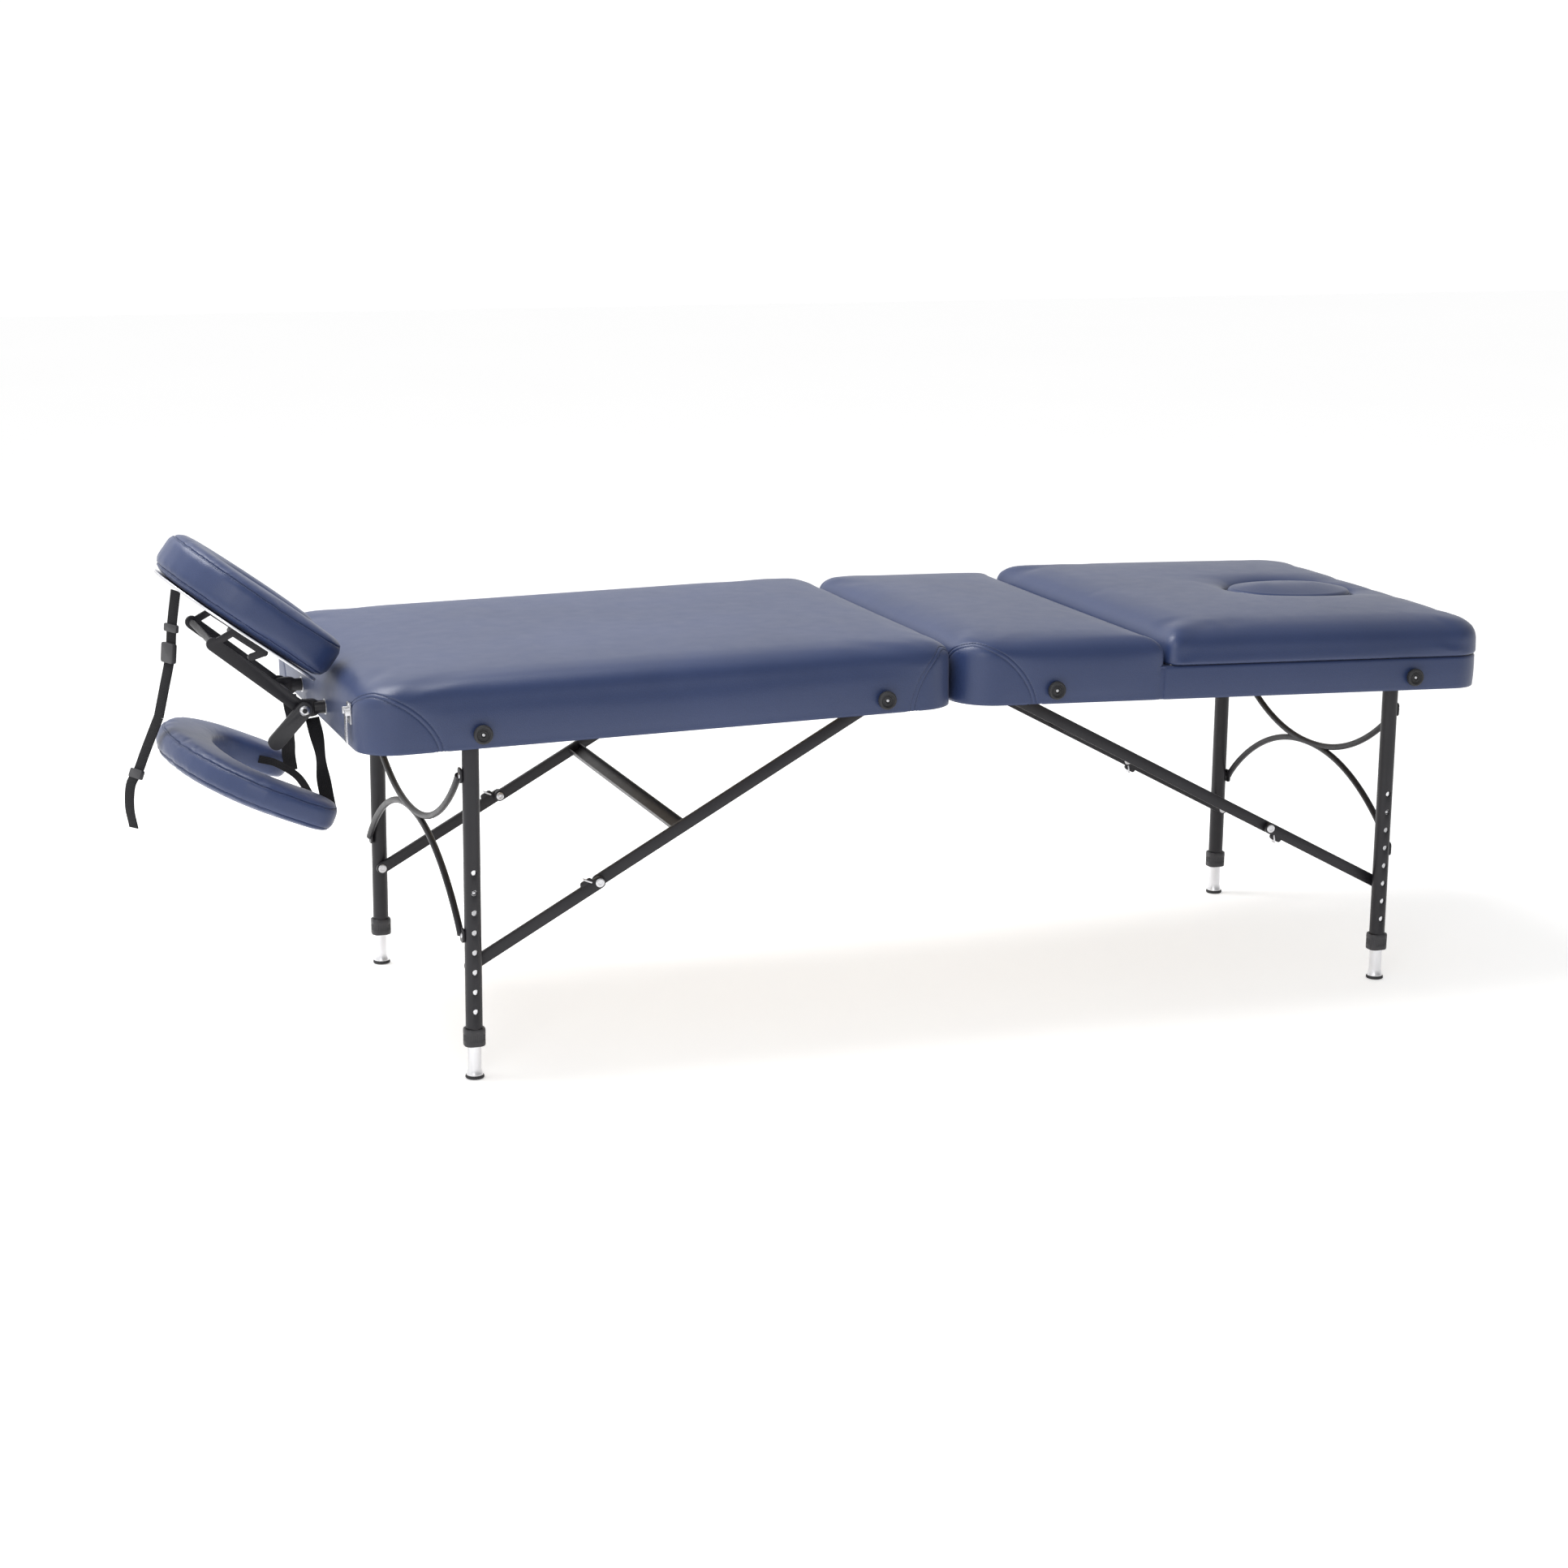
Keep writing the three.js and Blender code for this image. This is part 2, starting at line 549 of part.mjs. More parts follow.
function braces(half) {
  const { root, pin, knee, cross } = kneeBrace(half);
  const { lowerY, upperY } = braceLayers(half);
  const group = new THREE.Group();
  table.add(group);
  const upper = [];
  for (const [label, side] of SIDES) {
    const span = ([a, b]) => [side * a, side * b].sort((p, q) => p - q);
    const arm = link(root, knee, LINK.half, ...span(upperY));
    const rootPin = alongY(...root, LINK.pin, side * (upperY[1] - 1), side * (upperY[1] + 0.8));
    const kneePin = alongY(...knee, LINK.pin, side * (upperY[1] - 1), side * (upperY[1] + 0.7));
    const kneeHead = alongY(...knee, 7, side * (upperY[0] - 3), side * (upperY[0] + 1));
    upper.push(join(arm, rootPin, kneePin, kneeHead));

    const bar = link(pin, knee, LINK.half, ...span(lowerY));
    const legPin = alongY(...pin, LINK.pin, side * (lowerY[1] - 1), side * (lowerY[1] + 0.7));
    group.add(mesh(`${half.name}_lower_brace_${label}`, join(bar, legPin), CHARCOAL));
  }
  const crossbar = alongY(...cross, 8, -(upperY[0] + 1), upperY[0] + 1, 12);
  group.add(mesh(`${half.name}_upper_brace`, join(...upper, crossbar), CHARCOAL));
}

// ---------------------------------------------------------------- backrest
const PLUG = { u: 738, a: 110, b: 78, clearance: 1 };
const PROP = { u: 591, height: 43, length: 280, arm: 305, half: 4.5, pin: 3, catch: 272 };
const BACKREST_BOTTOM = FRAME_TOP + BOARD + 0.8;

function backrest() {
  const { sign, deck } = FOOT;
  const start = BACKREST_START + 0.7;
  const end = HALF_LENGTH + BACKREST_OVERHANG;
  const halfWidth = HALF_WIDTH + BACKREST_OVERHANG;
  const boardTop = BACKREST_BOTTOM + 6;

  const boardPlan = plan(sign, start + 4, end - 8, halfWidth - 8, 50);
  boardPlan.holes.push(ellipse(sign * PLUG.u, 0, PLUG.a - 16, PLUG.b - 16));
  const catches = SIDES.map(([, side]) => {
    const u = BACKREST_START + PROP.catch;
    const [y0, y1] = [side * 312, side * 320];
    return join(
      deckBox(sign, u - 12, u, y0, y1, BACKREST_BOTTOM - 8, BACKREST_BOTTOM + 1),
      deckBox(sign, u + 12, u + 16, y0, y1, BACKREST_BOTTOM - 2, BACKREST_BOTTOM + 1),
    );
  });
  deck.add(
    mesh("backrest_board", join(prism(boardPlan, BACKREST_BOTTOM, boardTop), ...catches), WOOD),
  );

  const padPlan = roundedRectangle(sign * start, sign * end, -halfWidth, halfWidth, 62);
  const outside = join(
    cushion(padPlan, BACKREST_BOTTOM, BACKREST_TOP, PAD_ROUNDING),
    cut(
      cushion(
        roundedRectangle(sign * start, sign * (start + 200), -halfWidth, halfWidth, 26),
        BACKREST_BOTTOM, BACKREST_TOP, PAD_ROUNDING,
      ),
      deckBox(sign, start + 100, end, -PAST, PAST, 0, 200),
    ),
  );
  const recess = prism(
    plan(sign, start + 4 - GAP, end - 8 + GAP, halfWidth - 8 + GAP, 50), 0, boardTop + GAP,
  );
  const plugHole = prism(
    ellipse(sign * PLUG.u, 0, PLUG.a + PLUG.clearance, PLUG.b + PLUG.clearance), 0, 150, 16,
  );
  deck.add(mesh("backrest_pad", cut(outside, recess, plugHole), NAVY));

  const plug = cushion(
    ellipse(sign * PLUG.u, 0, PLUG.a, PLUG.b), boardTop + 2 * GAP, BACKREST_TOP + 2, 10,
    { curveSegments: 12 },
  );
  deck.add(mesh("breath_hole_plug", plug, NAVY));

  // The prop frame lies in the base, pivots on its rails and catches under the raised backrest.
  const root = [sign * PROP.u, PROP.height];
  const free = [sign * (PROP.u + PROP.length), PROP.height];
  const prop = [alongY(...free, PROP.half, -PROP.arm, PROP.arm)];
  for (const [, side] of SIDES) {
    const [y0, y1] = [side * (PROP.arm - 4), side * (PROP.arm + 4)].sort((a, b) => a - b);
    prop.push(link(root, free, PROP.half, y0, y1));
    prop.push(alongY(...root, PROP.pin, side * PROP.arm, side * (FRAME_HALF_WIDTH - RAIL - GAP)));
    prop.push(alongY(...free, 4, side * PROP.arm, side * 320));
  }
  deck.add(mesh("backrest_prop", join(...prop), CHARCOAL));
}

// ---------------------------------------------------------------- face cradle
const BOARD_INSET = 12; // the cradle's plate lies this far inside its cushion's outline
const SOFT_RING = { bothEdges: true, curveSegments: 8 };

function pegSockets() {
  const tubes = SIDES.map(([, side]) =>
    rod(
      [-SOCKET.inside, side * PEG.y, PEG.height],
      [-(HALF_LENGTH + 2.5), side * PEG.y, PEG.height],
      SOCKET.radius,
      20,
    ),
  );
  const bores = SIDES.map(([, side]) =>
    rod(
      [-SOCKET.inside + EPS, side * PEG.y, PEG.height],
      [-(HALF_LENGTH + 4), side * PEG.y, PEG.height],
      SOCKET.bore,
      20,
    ),
  );
  const plate = box(-895, -830, -PEG.y - 8, PEG.y + 8, 35, 40);
  HEAD.deck.add(mesh("cradle_sockets", cut(join(...tubes, plate), ...bores), SILVER));
}

const ARM_Y = [PEG.y + 4, PEG.y + 10]; // cradle arms, outside the pivot lugs
const CAM = { y0: PEG.y + 11, y1: PEG.y + 19, length: 62, half: 12, angle: 227 };

function cradle() {
  const pivot = deckPoint(HEAD, PEG.pivot, PEG.height);
  const slope = THREE.MathUtils.degToRad(CRADLE.tilt);
  const base = [];
  for (const [, side] of SIDES) {
    const [y0, y1] = [side * (PEG.y - 5), side * (PEG.y + 3)].sort((a, b) => a - b);
    base.push(rod([-835, side * PEG.y, PEG.height], [-936, side * PEG.y, PEG.height], PEG.radius, 20));
    base.push(link([-PEG.pivot, PEG.height], [-938, PEG.height], LUG_RADIUS, y0, y1));
  }
  base.push(rod([-PEG.pivot, -PEG.y, PEG.height], [-PEG.pivot, PEG.y, PEG.height], 6, 12));
  base.push(rod([-PEG.pivot, -CAM.y1 - 4, PEG.height], [-PEG.pivot, CAM.y0 + 3, PEG.height], 3.5, 12));
  HEAD.deck.add(mesh("cradle_base", join(...base), CHARCOAL));

  // The tilting frame: two side arms, two cross rods and a rail under each side of the ring.
  const group = new THREE.Group();
  table.add(group);
  const along = (s, n) => [
    CRADLE.x - s * Math.cos(slope) + n * Math.sin(slope),
    CRADLE.z + s * Math.sin(slope) + n * Math.cos(slope),
  ];
  const tip = [pivot[0] - 129, pivot[1] + 104.5];
  const frame = [];
  for (const [, side] of SIDES) {
    const [y0, y1] = [side * ARM_Y[0], side * ARM_Y[1]].sort((a, b) => a - b);
    const arm = join(link(pivot, tip, 10, y0, y1), alongY(...pivot, HUB_RADIUS, y0, y1, 16));
    frame.push(cut(arm, alongY(...pivot, 3.5 + GAP, side * 80, side * 120, 12)));
    const [w0, w1] = [side * (ARM_Y[0] - 18), side * ARM_Y[1]].sort((a, b) => a - b);
    const riser0 = along(95, -10);
    const riser1 = along(150, -10);
    frame.push(link(riser0, riser1, 5.5, w0, w1));
    frame.push(link(riser0, [(riser0[0] + tip[0]) / 2 + 18, (riser0[1] + tip[1]) / 2 - 14], 5, y0, y1));
    frame.push(link(riser1, tip, 5, y0, y1));
  }
  frame.push(alongY(...tip, 5, -ARM_Y[0] - 1, ARM_Y[0] + 1, 12));
  group.add(mesh("cradle_frame", join(...frame), CHARCOAL));

  const ringGroup = new THREE.Group();
  ringGroup.position.set(CRADLE.x, 0, CRADLE.z);
  ringGroup.rotation.y = slope;
  table.add(ringGroup);
  const ring = cushion(horseshoe(CRADLE), 0, CRADLE.thick, 18, SOFT_RING);
  const boardPlan = horseshoe({
    length: CRADLE.length - 2 * BOARD_INSET,
    width: CRADLE.width - 2 * BOARD_INSET,
    ring: CRADLE.ring - 2 * BOARD_INSET,
  });
  const board = prism(boardPlan, -4, -GAP, 12);
  ringGroup.add(mesh("cradle_cushion", ring, NAVY));
  ringGroup.add(mesh("cradle_plate", solid(geometryOf(board).translate(-BOARD_INSET, 0, 0)), SILVER));

  const lever = THREE.MathUtils.degToRad(CAM.angle);
  const leverTip = [pivot[0] + CAM.length * Math.cos(lever), pivot[1] + CAM.length * Math.sin(lever)];
  const cam = cut(
    link(pivot, leverTip, CAM.half, -CAM.y1, -CAM.y0),
    alongY(...pivot, 3.5 + GAP, -CAM.y1 - 2, -CAM.y0 + 2, 12),
  );
  group.add(mesh("cam_lever", cam, BLACK));
}

// ---------------------------------------------------------------- hanging armrest
const STRAP = { halfWidth: 12.5, thickness: 1.8 };

// Webbing along a route; its width lies across the route's plane.
function webbing(points, steps) {
  const route = points.map(([x, y, z]) => new THREE.Vector3(x, y, z));
  const extrudePath =
    route.length > 2
      ? new THREE.CatmullRomCurve3(route, false, "centripetal")
      : new THREE.LineCurve3(...route);
  const section = roundedRectangle(
    -STRAP.halfWidth, STRAP.halfWidth, -STRAP.thickness / 2, STRAP.thickness / 2, 0.5,
  );
  return solid(new THREE.ExtrudeGeometry(section, { steps, extrudePath, curveSegments: 1 }));
}

function straps() {
  const hung = [
    [-1129.5, 0, 692.5],
    [-1137, 0, 640],
    [-1141, 0, 596],
    [-1152, 0, 545],
    [-1161, 0, 507],
  ];
  table.add(mesh("front_strap", webbing(hung, 6), WEBBING));
  const tail = [
    [-1162.5, 0, 503],
    [-1182, 0, 455],
    [-1194, 0, 425],
    [-1206, 0, 404],
    [-1209, 0, 370],
    [-1204, 0, 338],
  ];
  table.add(mesh("front_strap_tail", webbing(tail, 9), WEBBING));
  const [, pegZ] = deckPoint(HEAD, 935, PEG.height);
  for (const [label, side] of SIDES) {
    const route = [
      [-949, side * PEG.y, pegZ - LUG_RADIUS - STRAP.thickness],
      [-944, side * 150, 413.5],
    ];
    table.add(mesh(`rear_strap_${label}`, webbing(route, 2), WEBBING));
  }
}

function armrest() {
  const group = new THREE.Group();
  group.position.set(ARMREST.x, 0, ARMREST.z);
  group.rotation.y = THREE.MathUtils.degToRad(ARMREST.tilt);
  table.add(group);
  const ring = cushion(horseshoe(ARMREST), 0, ARMREST.thick, 14, SOFT_RING);
  group.add(mesh("armrest_pad", ring, NAVY));
}

const parts = [head, foot, foldHinge, latch, backrest, pegSockets, cradle, armrest, straps];
for (const build of parts) build();
bumpers(HEAD, [
  ["outer", 744],
  ["inner", 124.5],
]);
bumpers(FOOT, [
  ["inner", 152.5],
  ["outer", 780],
]);
for (const half of [HEAD, FOOT]) {
  carryHandle(half);
  legFrame(half);
  braces(half);
}

// The origin is on the floor, below the middle of the whole table.
const bounds = new THREE.Box3().setFromObject(table, true);
const middle = bounds.getCenter(new THREE.Vector3());
table.position.set(-middle.x, -middle.y, -bounds.min.z);
table.updateMatrixWorld(true);

export default table;
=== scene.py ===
"""Looks of a portable massage table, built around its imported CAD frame.

The deck's two halves slope a little from the fold line, so a point on a half is given as (u, y, w) in
millimetres: u from the fold line towards that half's end, y across the table, w above the half's bottom edge.
"""
import json
import math

import bmesh
import bpy
import numpy as np
from mathutils import Matrix, Vector
from mathutils.bvhtree import BVHTree
from mathutils.kdtree import KDTree


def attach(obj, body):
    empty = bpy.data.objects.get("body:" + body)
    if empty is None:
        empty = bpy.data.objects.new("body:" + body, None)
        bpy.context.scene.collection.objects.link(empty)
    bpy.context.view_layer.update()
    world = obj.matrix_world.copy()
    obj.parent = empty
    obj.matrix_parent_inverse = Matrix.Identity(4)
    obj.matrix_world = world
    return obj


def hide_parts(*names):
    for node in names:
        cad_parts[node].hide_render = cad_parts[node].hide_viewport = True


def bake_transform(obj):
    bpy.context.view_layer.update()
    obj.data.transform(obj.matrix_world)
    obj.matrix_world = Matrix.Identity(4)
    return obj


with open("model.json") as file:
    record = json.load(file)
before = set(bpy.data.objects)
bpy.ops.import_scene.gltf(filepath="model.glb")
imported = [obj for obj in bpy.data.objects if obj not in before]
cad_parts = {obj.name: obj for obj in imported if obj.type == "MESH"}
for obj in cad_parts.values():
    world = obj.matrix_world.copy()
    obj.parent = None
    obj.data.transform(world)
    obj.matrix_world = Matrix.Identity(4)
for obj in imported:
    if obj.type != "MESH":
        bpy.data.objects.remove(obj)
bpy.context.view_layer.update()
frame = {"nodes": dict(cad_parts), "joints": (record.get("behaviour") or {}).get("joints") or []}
JOINTS = {joint["name"]: joint for joint in frame["joints"]}

MM = 0.001
SIDES = (("near", -1), ("far", 1))
SIGN = {"head": -1, "foot": 1}
FOLD = Vector(JOINTS["case_fold"]["pos_m"]) + Vector((0, 0, 1.5 * MM))
SLIDE_AXIS = JOINTS["cradle_slide"]["axis"]
LIFT_AXIS = JOINTS["breath_hole_plug_lift"]["axis"]
CAMBER = {
    "head": math.atan2(-SLIDE_AXIS[2], -SLIDE_AXIS[0]),
    "foot": math.atan2(LIFT_AXIS[0], LIFT_AXIS[2]),
}

BREATH_HOLE_U = 738.0  # the middle of the breath hole, on the foot half
PAD_SIDE = 340.3  # the decks' upholstered sides lie at plus and minus this y
FOLD_X = -10.5  # the fold line, in the x that table_point takes


def deck_matrix(half):
    """Takes (u, y, w) in millimetres on a half to the row frame."""
    turn = Matrix.Rotation(SIGN[half] * CAMBER[half], 4, "Y")
    return Matrix.Translation(FOLD) @ turn @ Matrix.Diagonal((SIGN[half] * MM, MM, MM, 1))


DECK = {half: deck_matrix(half) for half in SIGN}
FACING_X = Matrix(((0, 0, 1, 0), (1, 0, 0, 0), (0, 1, 0, 0), (0, 0, 0, 1)))  # takes z to x, x to y and y to z


# ---------------------------------------------------------------- shapes: (vertices, faces)
def merged(shapes):
    """Several shapes as one."""
    vertices, faces, start = [], [], 0
    for points, polygons in shapes:
        vertices.append(np.asarray(points, float))
        faces += [tuple(i + start for i in polygon) for polygon in polygons]
        start += len(points)
    return np.vstack(vertices), faces


def moved(shape, matrix):
    points, faces = shape
    m = np.array(matrix)
    return np.asarray(points) @ m[:3, :3].T + m[:3, 3], faces


def loft(rings, closed=False):
    """Rings of points joined by quads; closed joins the last to the first, or else both ends are capped."""
    count, size = len(rings), len(rings[0])
    points = np.vstack([np.asarray(ring, float) for ring in rings])
    faces = []
    for k in range(count if closed else count - 1):
        a, b = k * size, (k + 1) % count * size
        for i in range(size):
            j = (i + 1) % size
            faces.append((a + i, a + j, b + j, b + i))
    if not closed:
        faces.append(tuple(range(size))[::-1])
        faces.append(tuple((count - 1) * size + i for i in range(size)))
    return points, faces


def unit(v):
    v = np.asarray(v, float)
    return v / np.linalg.norm(v)


def basis(axis):
    """Two unit vectors across an axis, the second as near to upright as it can be."""
    axis = unit(axis)
    upright = (1, 0, 0) if abs(axis[2]) > 0.98 else (0, 0, 1)
    side = unit(np.cross(upright, axis))
    return side, np.cross(axis, side)


def lathe(profile, centre, axis, segments=32, closed=False, hexagons=()):
    """A profile of (radius, height) turned about an axis; rings whose index is in hexagons are six-sided."""
    side, up = basis(axis)
    angles = np.linspace(0, 2 * np.pi, segments, endpoint=False)
    sixth = np.cos(np.pi / 6) / np.cos(angles % (np.pi / 3) - np.pi / 6)
    rings = []
    for k, (radius, height) in enumerate(profile):
        r = radius * (sixth if k in hexagons else np.ones(segments))
        ring = np.outer(r * np.cos(angles), side) + np.outer(r * np.sin(angles), up)
        rings.append(np.asarray(centre) + height * unit(axis) + ring)
    return loft(rings, closed)


def sweep(path, section, up):
    """A closed section of (across, up) points carried along an open path."""
    rings = []
    for point, tangent in zip(path, np.gradient(path, axis=0)):
        side = unit(np.cross(unit(tangent), up))
        normal = np.cross(side, unit(tangent))
        rings.append([point + a * side + b * normal for a, b in section])
    return loft(rings)


def arc(cx, cy, rx, ry, start, end, steps):
    """Points of an elliptical arc, in degrees."""
    angles = np.radians(np.linspace(start, end, steps + 1))
    return [(cx + rx * math.cos(t), cy + ry * math.sin(t)) for t in angles]


def rounded_rectangle(x0, x1, y0, y1, r, steps=6):
    corners = [(x1 - r, y1 - r, 0), (x0 + r, y1 - r, 90), (x0 + r, y0 + r, 180), (x1 - r, y0 + r, 270)]
    return [p for cx, cy, a in corners for p in arc(cx, cy, r, r, a, a + 90, steps)]


def stadium(length, half):
    return arc(length, 0, half, half, -90, 90, 10) + arc(0, 0, half, half, 90, 270, 10)


def ellipse(a, b, steps):
    return arc(0, 0, a, b, 0, 360 - 360 / steps, steps - 1)


def inset_outline(outline, inset):
    """A closed outline moved inwards along its vertex normals."""
    p = np.asarray(outline, float)
    ahead, behind = np.roll(p, -1, axis=0) - p, p - np.roll(p, 1, axis=0)
    ahead /= np.maximum(np.linalg.norm(ahead, axis=1), 1e-9)[:, None]
    behind /= np.maximum(np.linalg.norm(behind, axis=1), 1e-9)[:, None]
    tangent = ahead + behind
    tangent /= np.linalg.norm(tangent, axis=1)[:, None]
    return p + inset * np.column_stack([-tangent[:, 1], tangent[:, 0]])


def plate(outline, bottom, top, edge=0.8):
    """A flat piece with eased edges, from an outline and two heights."""
    steps = [(edge, 0), (0.3 * edge, 0.3 * edge), (0, edge)]
    rings = []
    for inset, lift in steps:
        rings.append([(x, y, bottom + lift) for x, y in inset_outline(outline, inset)])
    for inset, lift in reversed(steps):
        rings.append([(x, y, top - lift) for x, y in inset_outline(outline, inset)])
    return loft(rings)


def bar(start, end, half, y0, y1, edge=1.2):
    """A flat bar with round ends in an XZ plane, between two pivots, from y0 to y1, all in metres."""
    along = np.array([end[0] - start[0], 0, end[2] - start[2]])
    length = np.linalg.norm(along)
    points, faces = plate(stadium(length / MM, half / MM), y0 / MM, y1 / MM, edge)
    d = along / length
    across = np.array([-d[2], 0, d[0]])
    points = np.asarray(points) * MM
    placed = (
        np.array([start[0], 0, start[2]])
        + np.outer(points[:, 0], d)
        + np.outer(points[:, 1], across)
        + np.outer(points[:, 2], (0, 1, 0))
    )
    return placed, faces


def screw(centre, axis, radius, height):
    """A button-head screw with a hexagon socket, its head standing along the axis."""
    profile = [(1, 0), (1, 0.3), (0.93, 0.62), (0.75, 0.9), (0.52, 1), (0.5, 0.97), (0.46, 0.4), (0.1, 0.34)]
    placed = [(r * radius, h * height) for r, h in profile]
    return lathe(placed, centre, axis, 30, hexagons=(4, 5, 6))


# ---------------------------------------------------------------- objects
def new_object(name, data):
    obj = bpy.data.objects.new(name, data)
    bpy.context.scene.collection.objects.link(obj)
    return obj


def add_object(name, shape, crease=35):
    """A mesh object from a shape, smooth but for edges sharper than crease degrees."""
    points, faces = shape
    mesh = bpy.data.meshes.new(name)
    mesh.from_pydata([tuple(p) for p in points], [], faces)
    bm = bmesh.new()
    bm.from_mesh(mesh)
    bmesh.ops.remove_doubles(bm, verts=bm.verts, dist=1e-6)
    bmesh.ops.recalc_face_normals(bm, faces=bm.faces)
    bm.to_mesh(mesh)
    bm.free()
    obj = new_object(name, mesh)
    soften(obj, crease)
    return obj


def soften(obj, crease=35):
    obj.data.shade_smooth()
    obj.data.set_sharp_from_angle(angle=math.radians(crease))


def dress(obj, body, slot, replaced=(), finish=None):
    """Gives a piece the finish of its slot, or the finish named, puts it on its body and hides the CAD nodes
    that it stands for.
    """
    obj.data.materials.clear()
    obj.data.materials.append(FINISHES[finish or slot])
    if replaced:
        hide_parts(*replaced)
    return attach(obj, body) if body else obj


def baked(obj, *modifiers):
    """Applies modifiers, given as (type, settings), and leaves only their result."""
    for kind, settings in modifiers:
        modifier = obj.modifiers.new(kind, kind)
        for key, value in settings.items():
            setattr(modifier, key, value)
    evaluated = obj.evaluated_get(bpy.context.evaluated_depsgraph_get())
    mesh = bpy.data.meshes.new_from_object(evaluated)
    obj.modifiers.clear()
    obj.data = mesh


def coordinates(mesh):
    flat = np.empty(len(mesh.vertices) * 3)
    mesh.vertices.foreach_get("co", flat)
    return flat.reshape(-1, 3)


def cad_copy(name, node, crease=35):
    """A new object with a CAD node's shape, welded, with its flat faces whole."""
    mesh = frame["nodes"][node].data.copy()
    bm = bmesh.new()
    bm.from_mesh(mesh)
    bmesh.ops.remove_doubles(bm, verts=bm.verts, dist=1e-5)
    bmesh.ops.dissolve_limit(
        bm, angle_limit=math.radians(1.5), use_dissolve_boundaries=False, verts=bm.verts, edges=bm.edges
    )
    bm.to_mesh(mesh)
    bm.free()
    mesh.name = name
    obj = new_object(name, mesh)
    soften(obj, crease)
    return obj


def eased_copy(node, body, slot, width=0.6):
    """Replaces a CAD node by its own shape with edges rounded by width, in millimetres."""
    obj = cad_copy(f"{node}_finish", node)
    bevel = {"width": width * MM, "segments": 2, "limit_method": "ANGLE", "angle_limit": math.radians(30)}
    baked(obj, ("BEVEL", bevel))
    soften(obj, 40)
    dress(obj, body, slot, (node,))


# ---------------------------------------------------------------- materials
class Finish:
    """A node material in the making."""

    def __init__(self, name):
        self.material = bpy.data.materials.new(name)
        self.material.use_nodes = True
        self.tree = self.material.node_tree
        self.shader = self.tree.nodes["Principled BSDF"]
        self.coords = self.node("ShaderNodeTexCoord").outputs["Object"]
        self.heights = None

    def node(self, kind, inputs=None, **settings):
        made = self.tree.nodes.new(kind)
        for key, value in settings.items():
            setattr(made, key, value)
        for key, value in (inputs or {}).items():
            self.put(made.inputs[key], value)
        return made

    def put(self, socket, value):
        if isinstance(value, bpy.types.NodeSocket):
            self.tree.links.new(value, socket)
        else:
            socket.default_value = value

    def stretched(self, x, y, z):
        mapping = self.node("ShaderNodeMapping", {"Vector": self.coords, "Scale": (x, y, z)})
        return mapping.outputs["Vector"]

    def noise(self, scale, detail=3.0, coords=None, roughness=0.5):
        inputs = {"Vector": coords or self.coords, "Scale": scale, "Detail": detail, "Roughness": roughness}
        return self.node("ShaderNodeTexNoise", inputs).outputs["Fac"]

    def cells(self, scale):
        inputs = {"Vector": self.coords, "Scale": scale}
        return self.node("ShaderNodeTexVoronoi", inputs, feature="SMOOTH_F1").outputs["Distance"]

    def bands(self, scale, direction, coords=None, distortion=0.0):
        inputs = {"Vector": coords or self.coords, "Scale": scale, "Distortion": distortion}
        return self.node("ShaderNodeTexWave", inputs, bands_direction=direction).outputs["Fac"]

    def spread(self, value, low, high):
        """Maps 0..1 to low..high."""
        inputs = {"Value": value, "To Min": low, "To Max": high}
        return self.node("ShaderNodeMapRange", inputs).outputs["Result"]

    def colours(self, value, *stops):
        ramp = self.node("ShaderNodeValToRGB", {"Fac": value})
        elements = ramp.color_ramp.elements
        while len(elements) < len(stops):
            elements.new(0.5)
        for element, (place, colour) in zip(elements, stops):
            element.position = place
            element.color = (*colour, 1)
        return ramp.outputs["Color"]

    def multiplied(self, share, first, second):
        """The first colour, multiplied in part by the second."""
        mixed = self.node("ShaderNodeMix", data_type="RGBA", blend_type="MULTIPLY")
        mixed.inputs["Factor"].default_value = share
        self.put(mixed.inputs["A"], first)
        self.put(mixed.inputs["B"], second)
        return mixed.outputs["Result"]

    def bump(self, height, distance, strength):
        """Adds a layer of relief, its distance in millimetres."""
        inputs = {"Height": height, "Distance": distance * MM, "Strength": strength}
        if self.heights:
            inputs["Normal"] = self.heights
        self.heights = self.node("ShaderNodeBump", inputs).outputs["Normal"]
        self.put(self.shader.inputs["Normal"], self.heights)

    def set(self, **sockets):
        for key, value in sockets.items():
            self.put(self.shader.inputs[key.replace("_", " ")], value)
        return self.material


def leather():
    """Navy synthetic leather: a pebble grain, soft creases, a little uneven in colour and gloss."""
    f = Finish("navy_leather")
    pebbles = f.cells(780)
    f.bump(f.noise(14, 3), 2.0, 0.16)
    f.bump(pebbles, 0.3, 0.5)
    f.bump(f.noise(2600, 2), 0.06, 0.4)
    base = f.colours(f.noise(5, 4), (0.3, (0.015, 0.031, 0.098)), (0.7, (0.020, 0.038, 0.116)))
    grain = f.colours(pebbles, (0.0, (0.80, 0.80, 0.82)), (0.5, (1.05, 1.05, 1.04)))
    return f.set(
        Base_Color=f.multiplied(0.7, base, grain), Roughness=f.spread(f.noise(40, 3), 0.38, 0.48),
        Specular_IOR_Level=0.6, Sheen_Weight=0.08, Sheen_Roughness=0.5,
    )


def thread():
    f = Finish("navy_thread")
    f.bump(f.bands(900.0, "DIAGONAL"), 0.08, 0.6)
    tone = f.colours(f.noise(60), (0.3, (0.02, 0.035, 0.09)), (0.7, (0.035, 0.055, 0.13)))
    return f.set(Base_Color=tone, Roughness=0.7, Sheen_Weight=0.2)


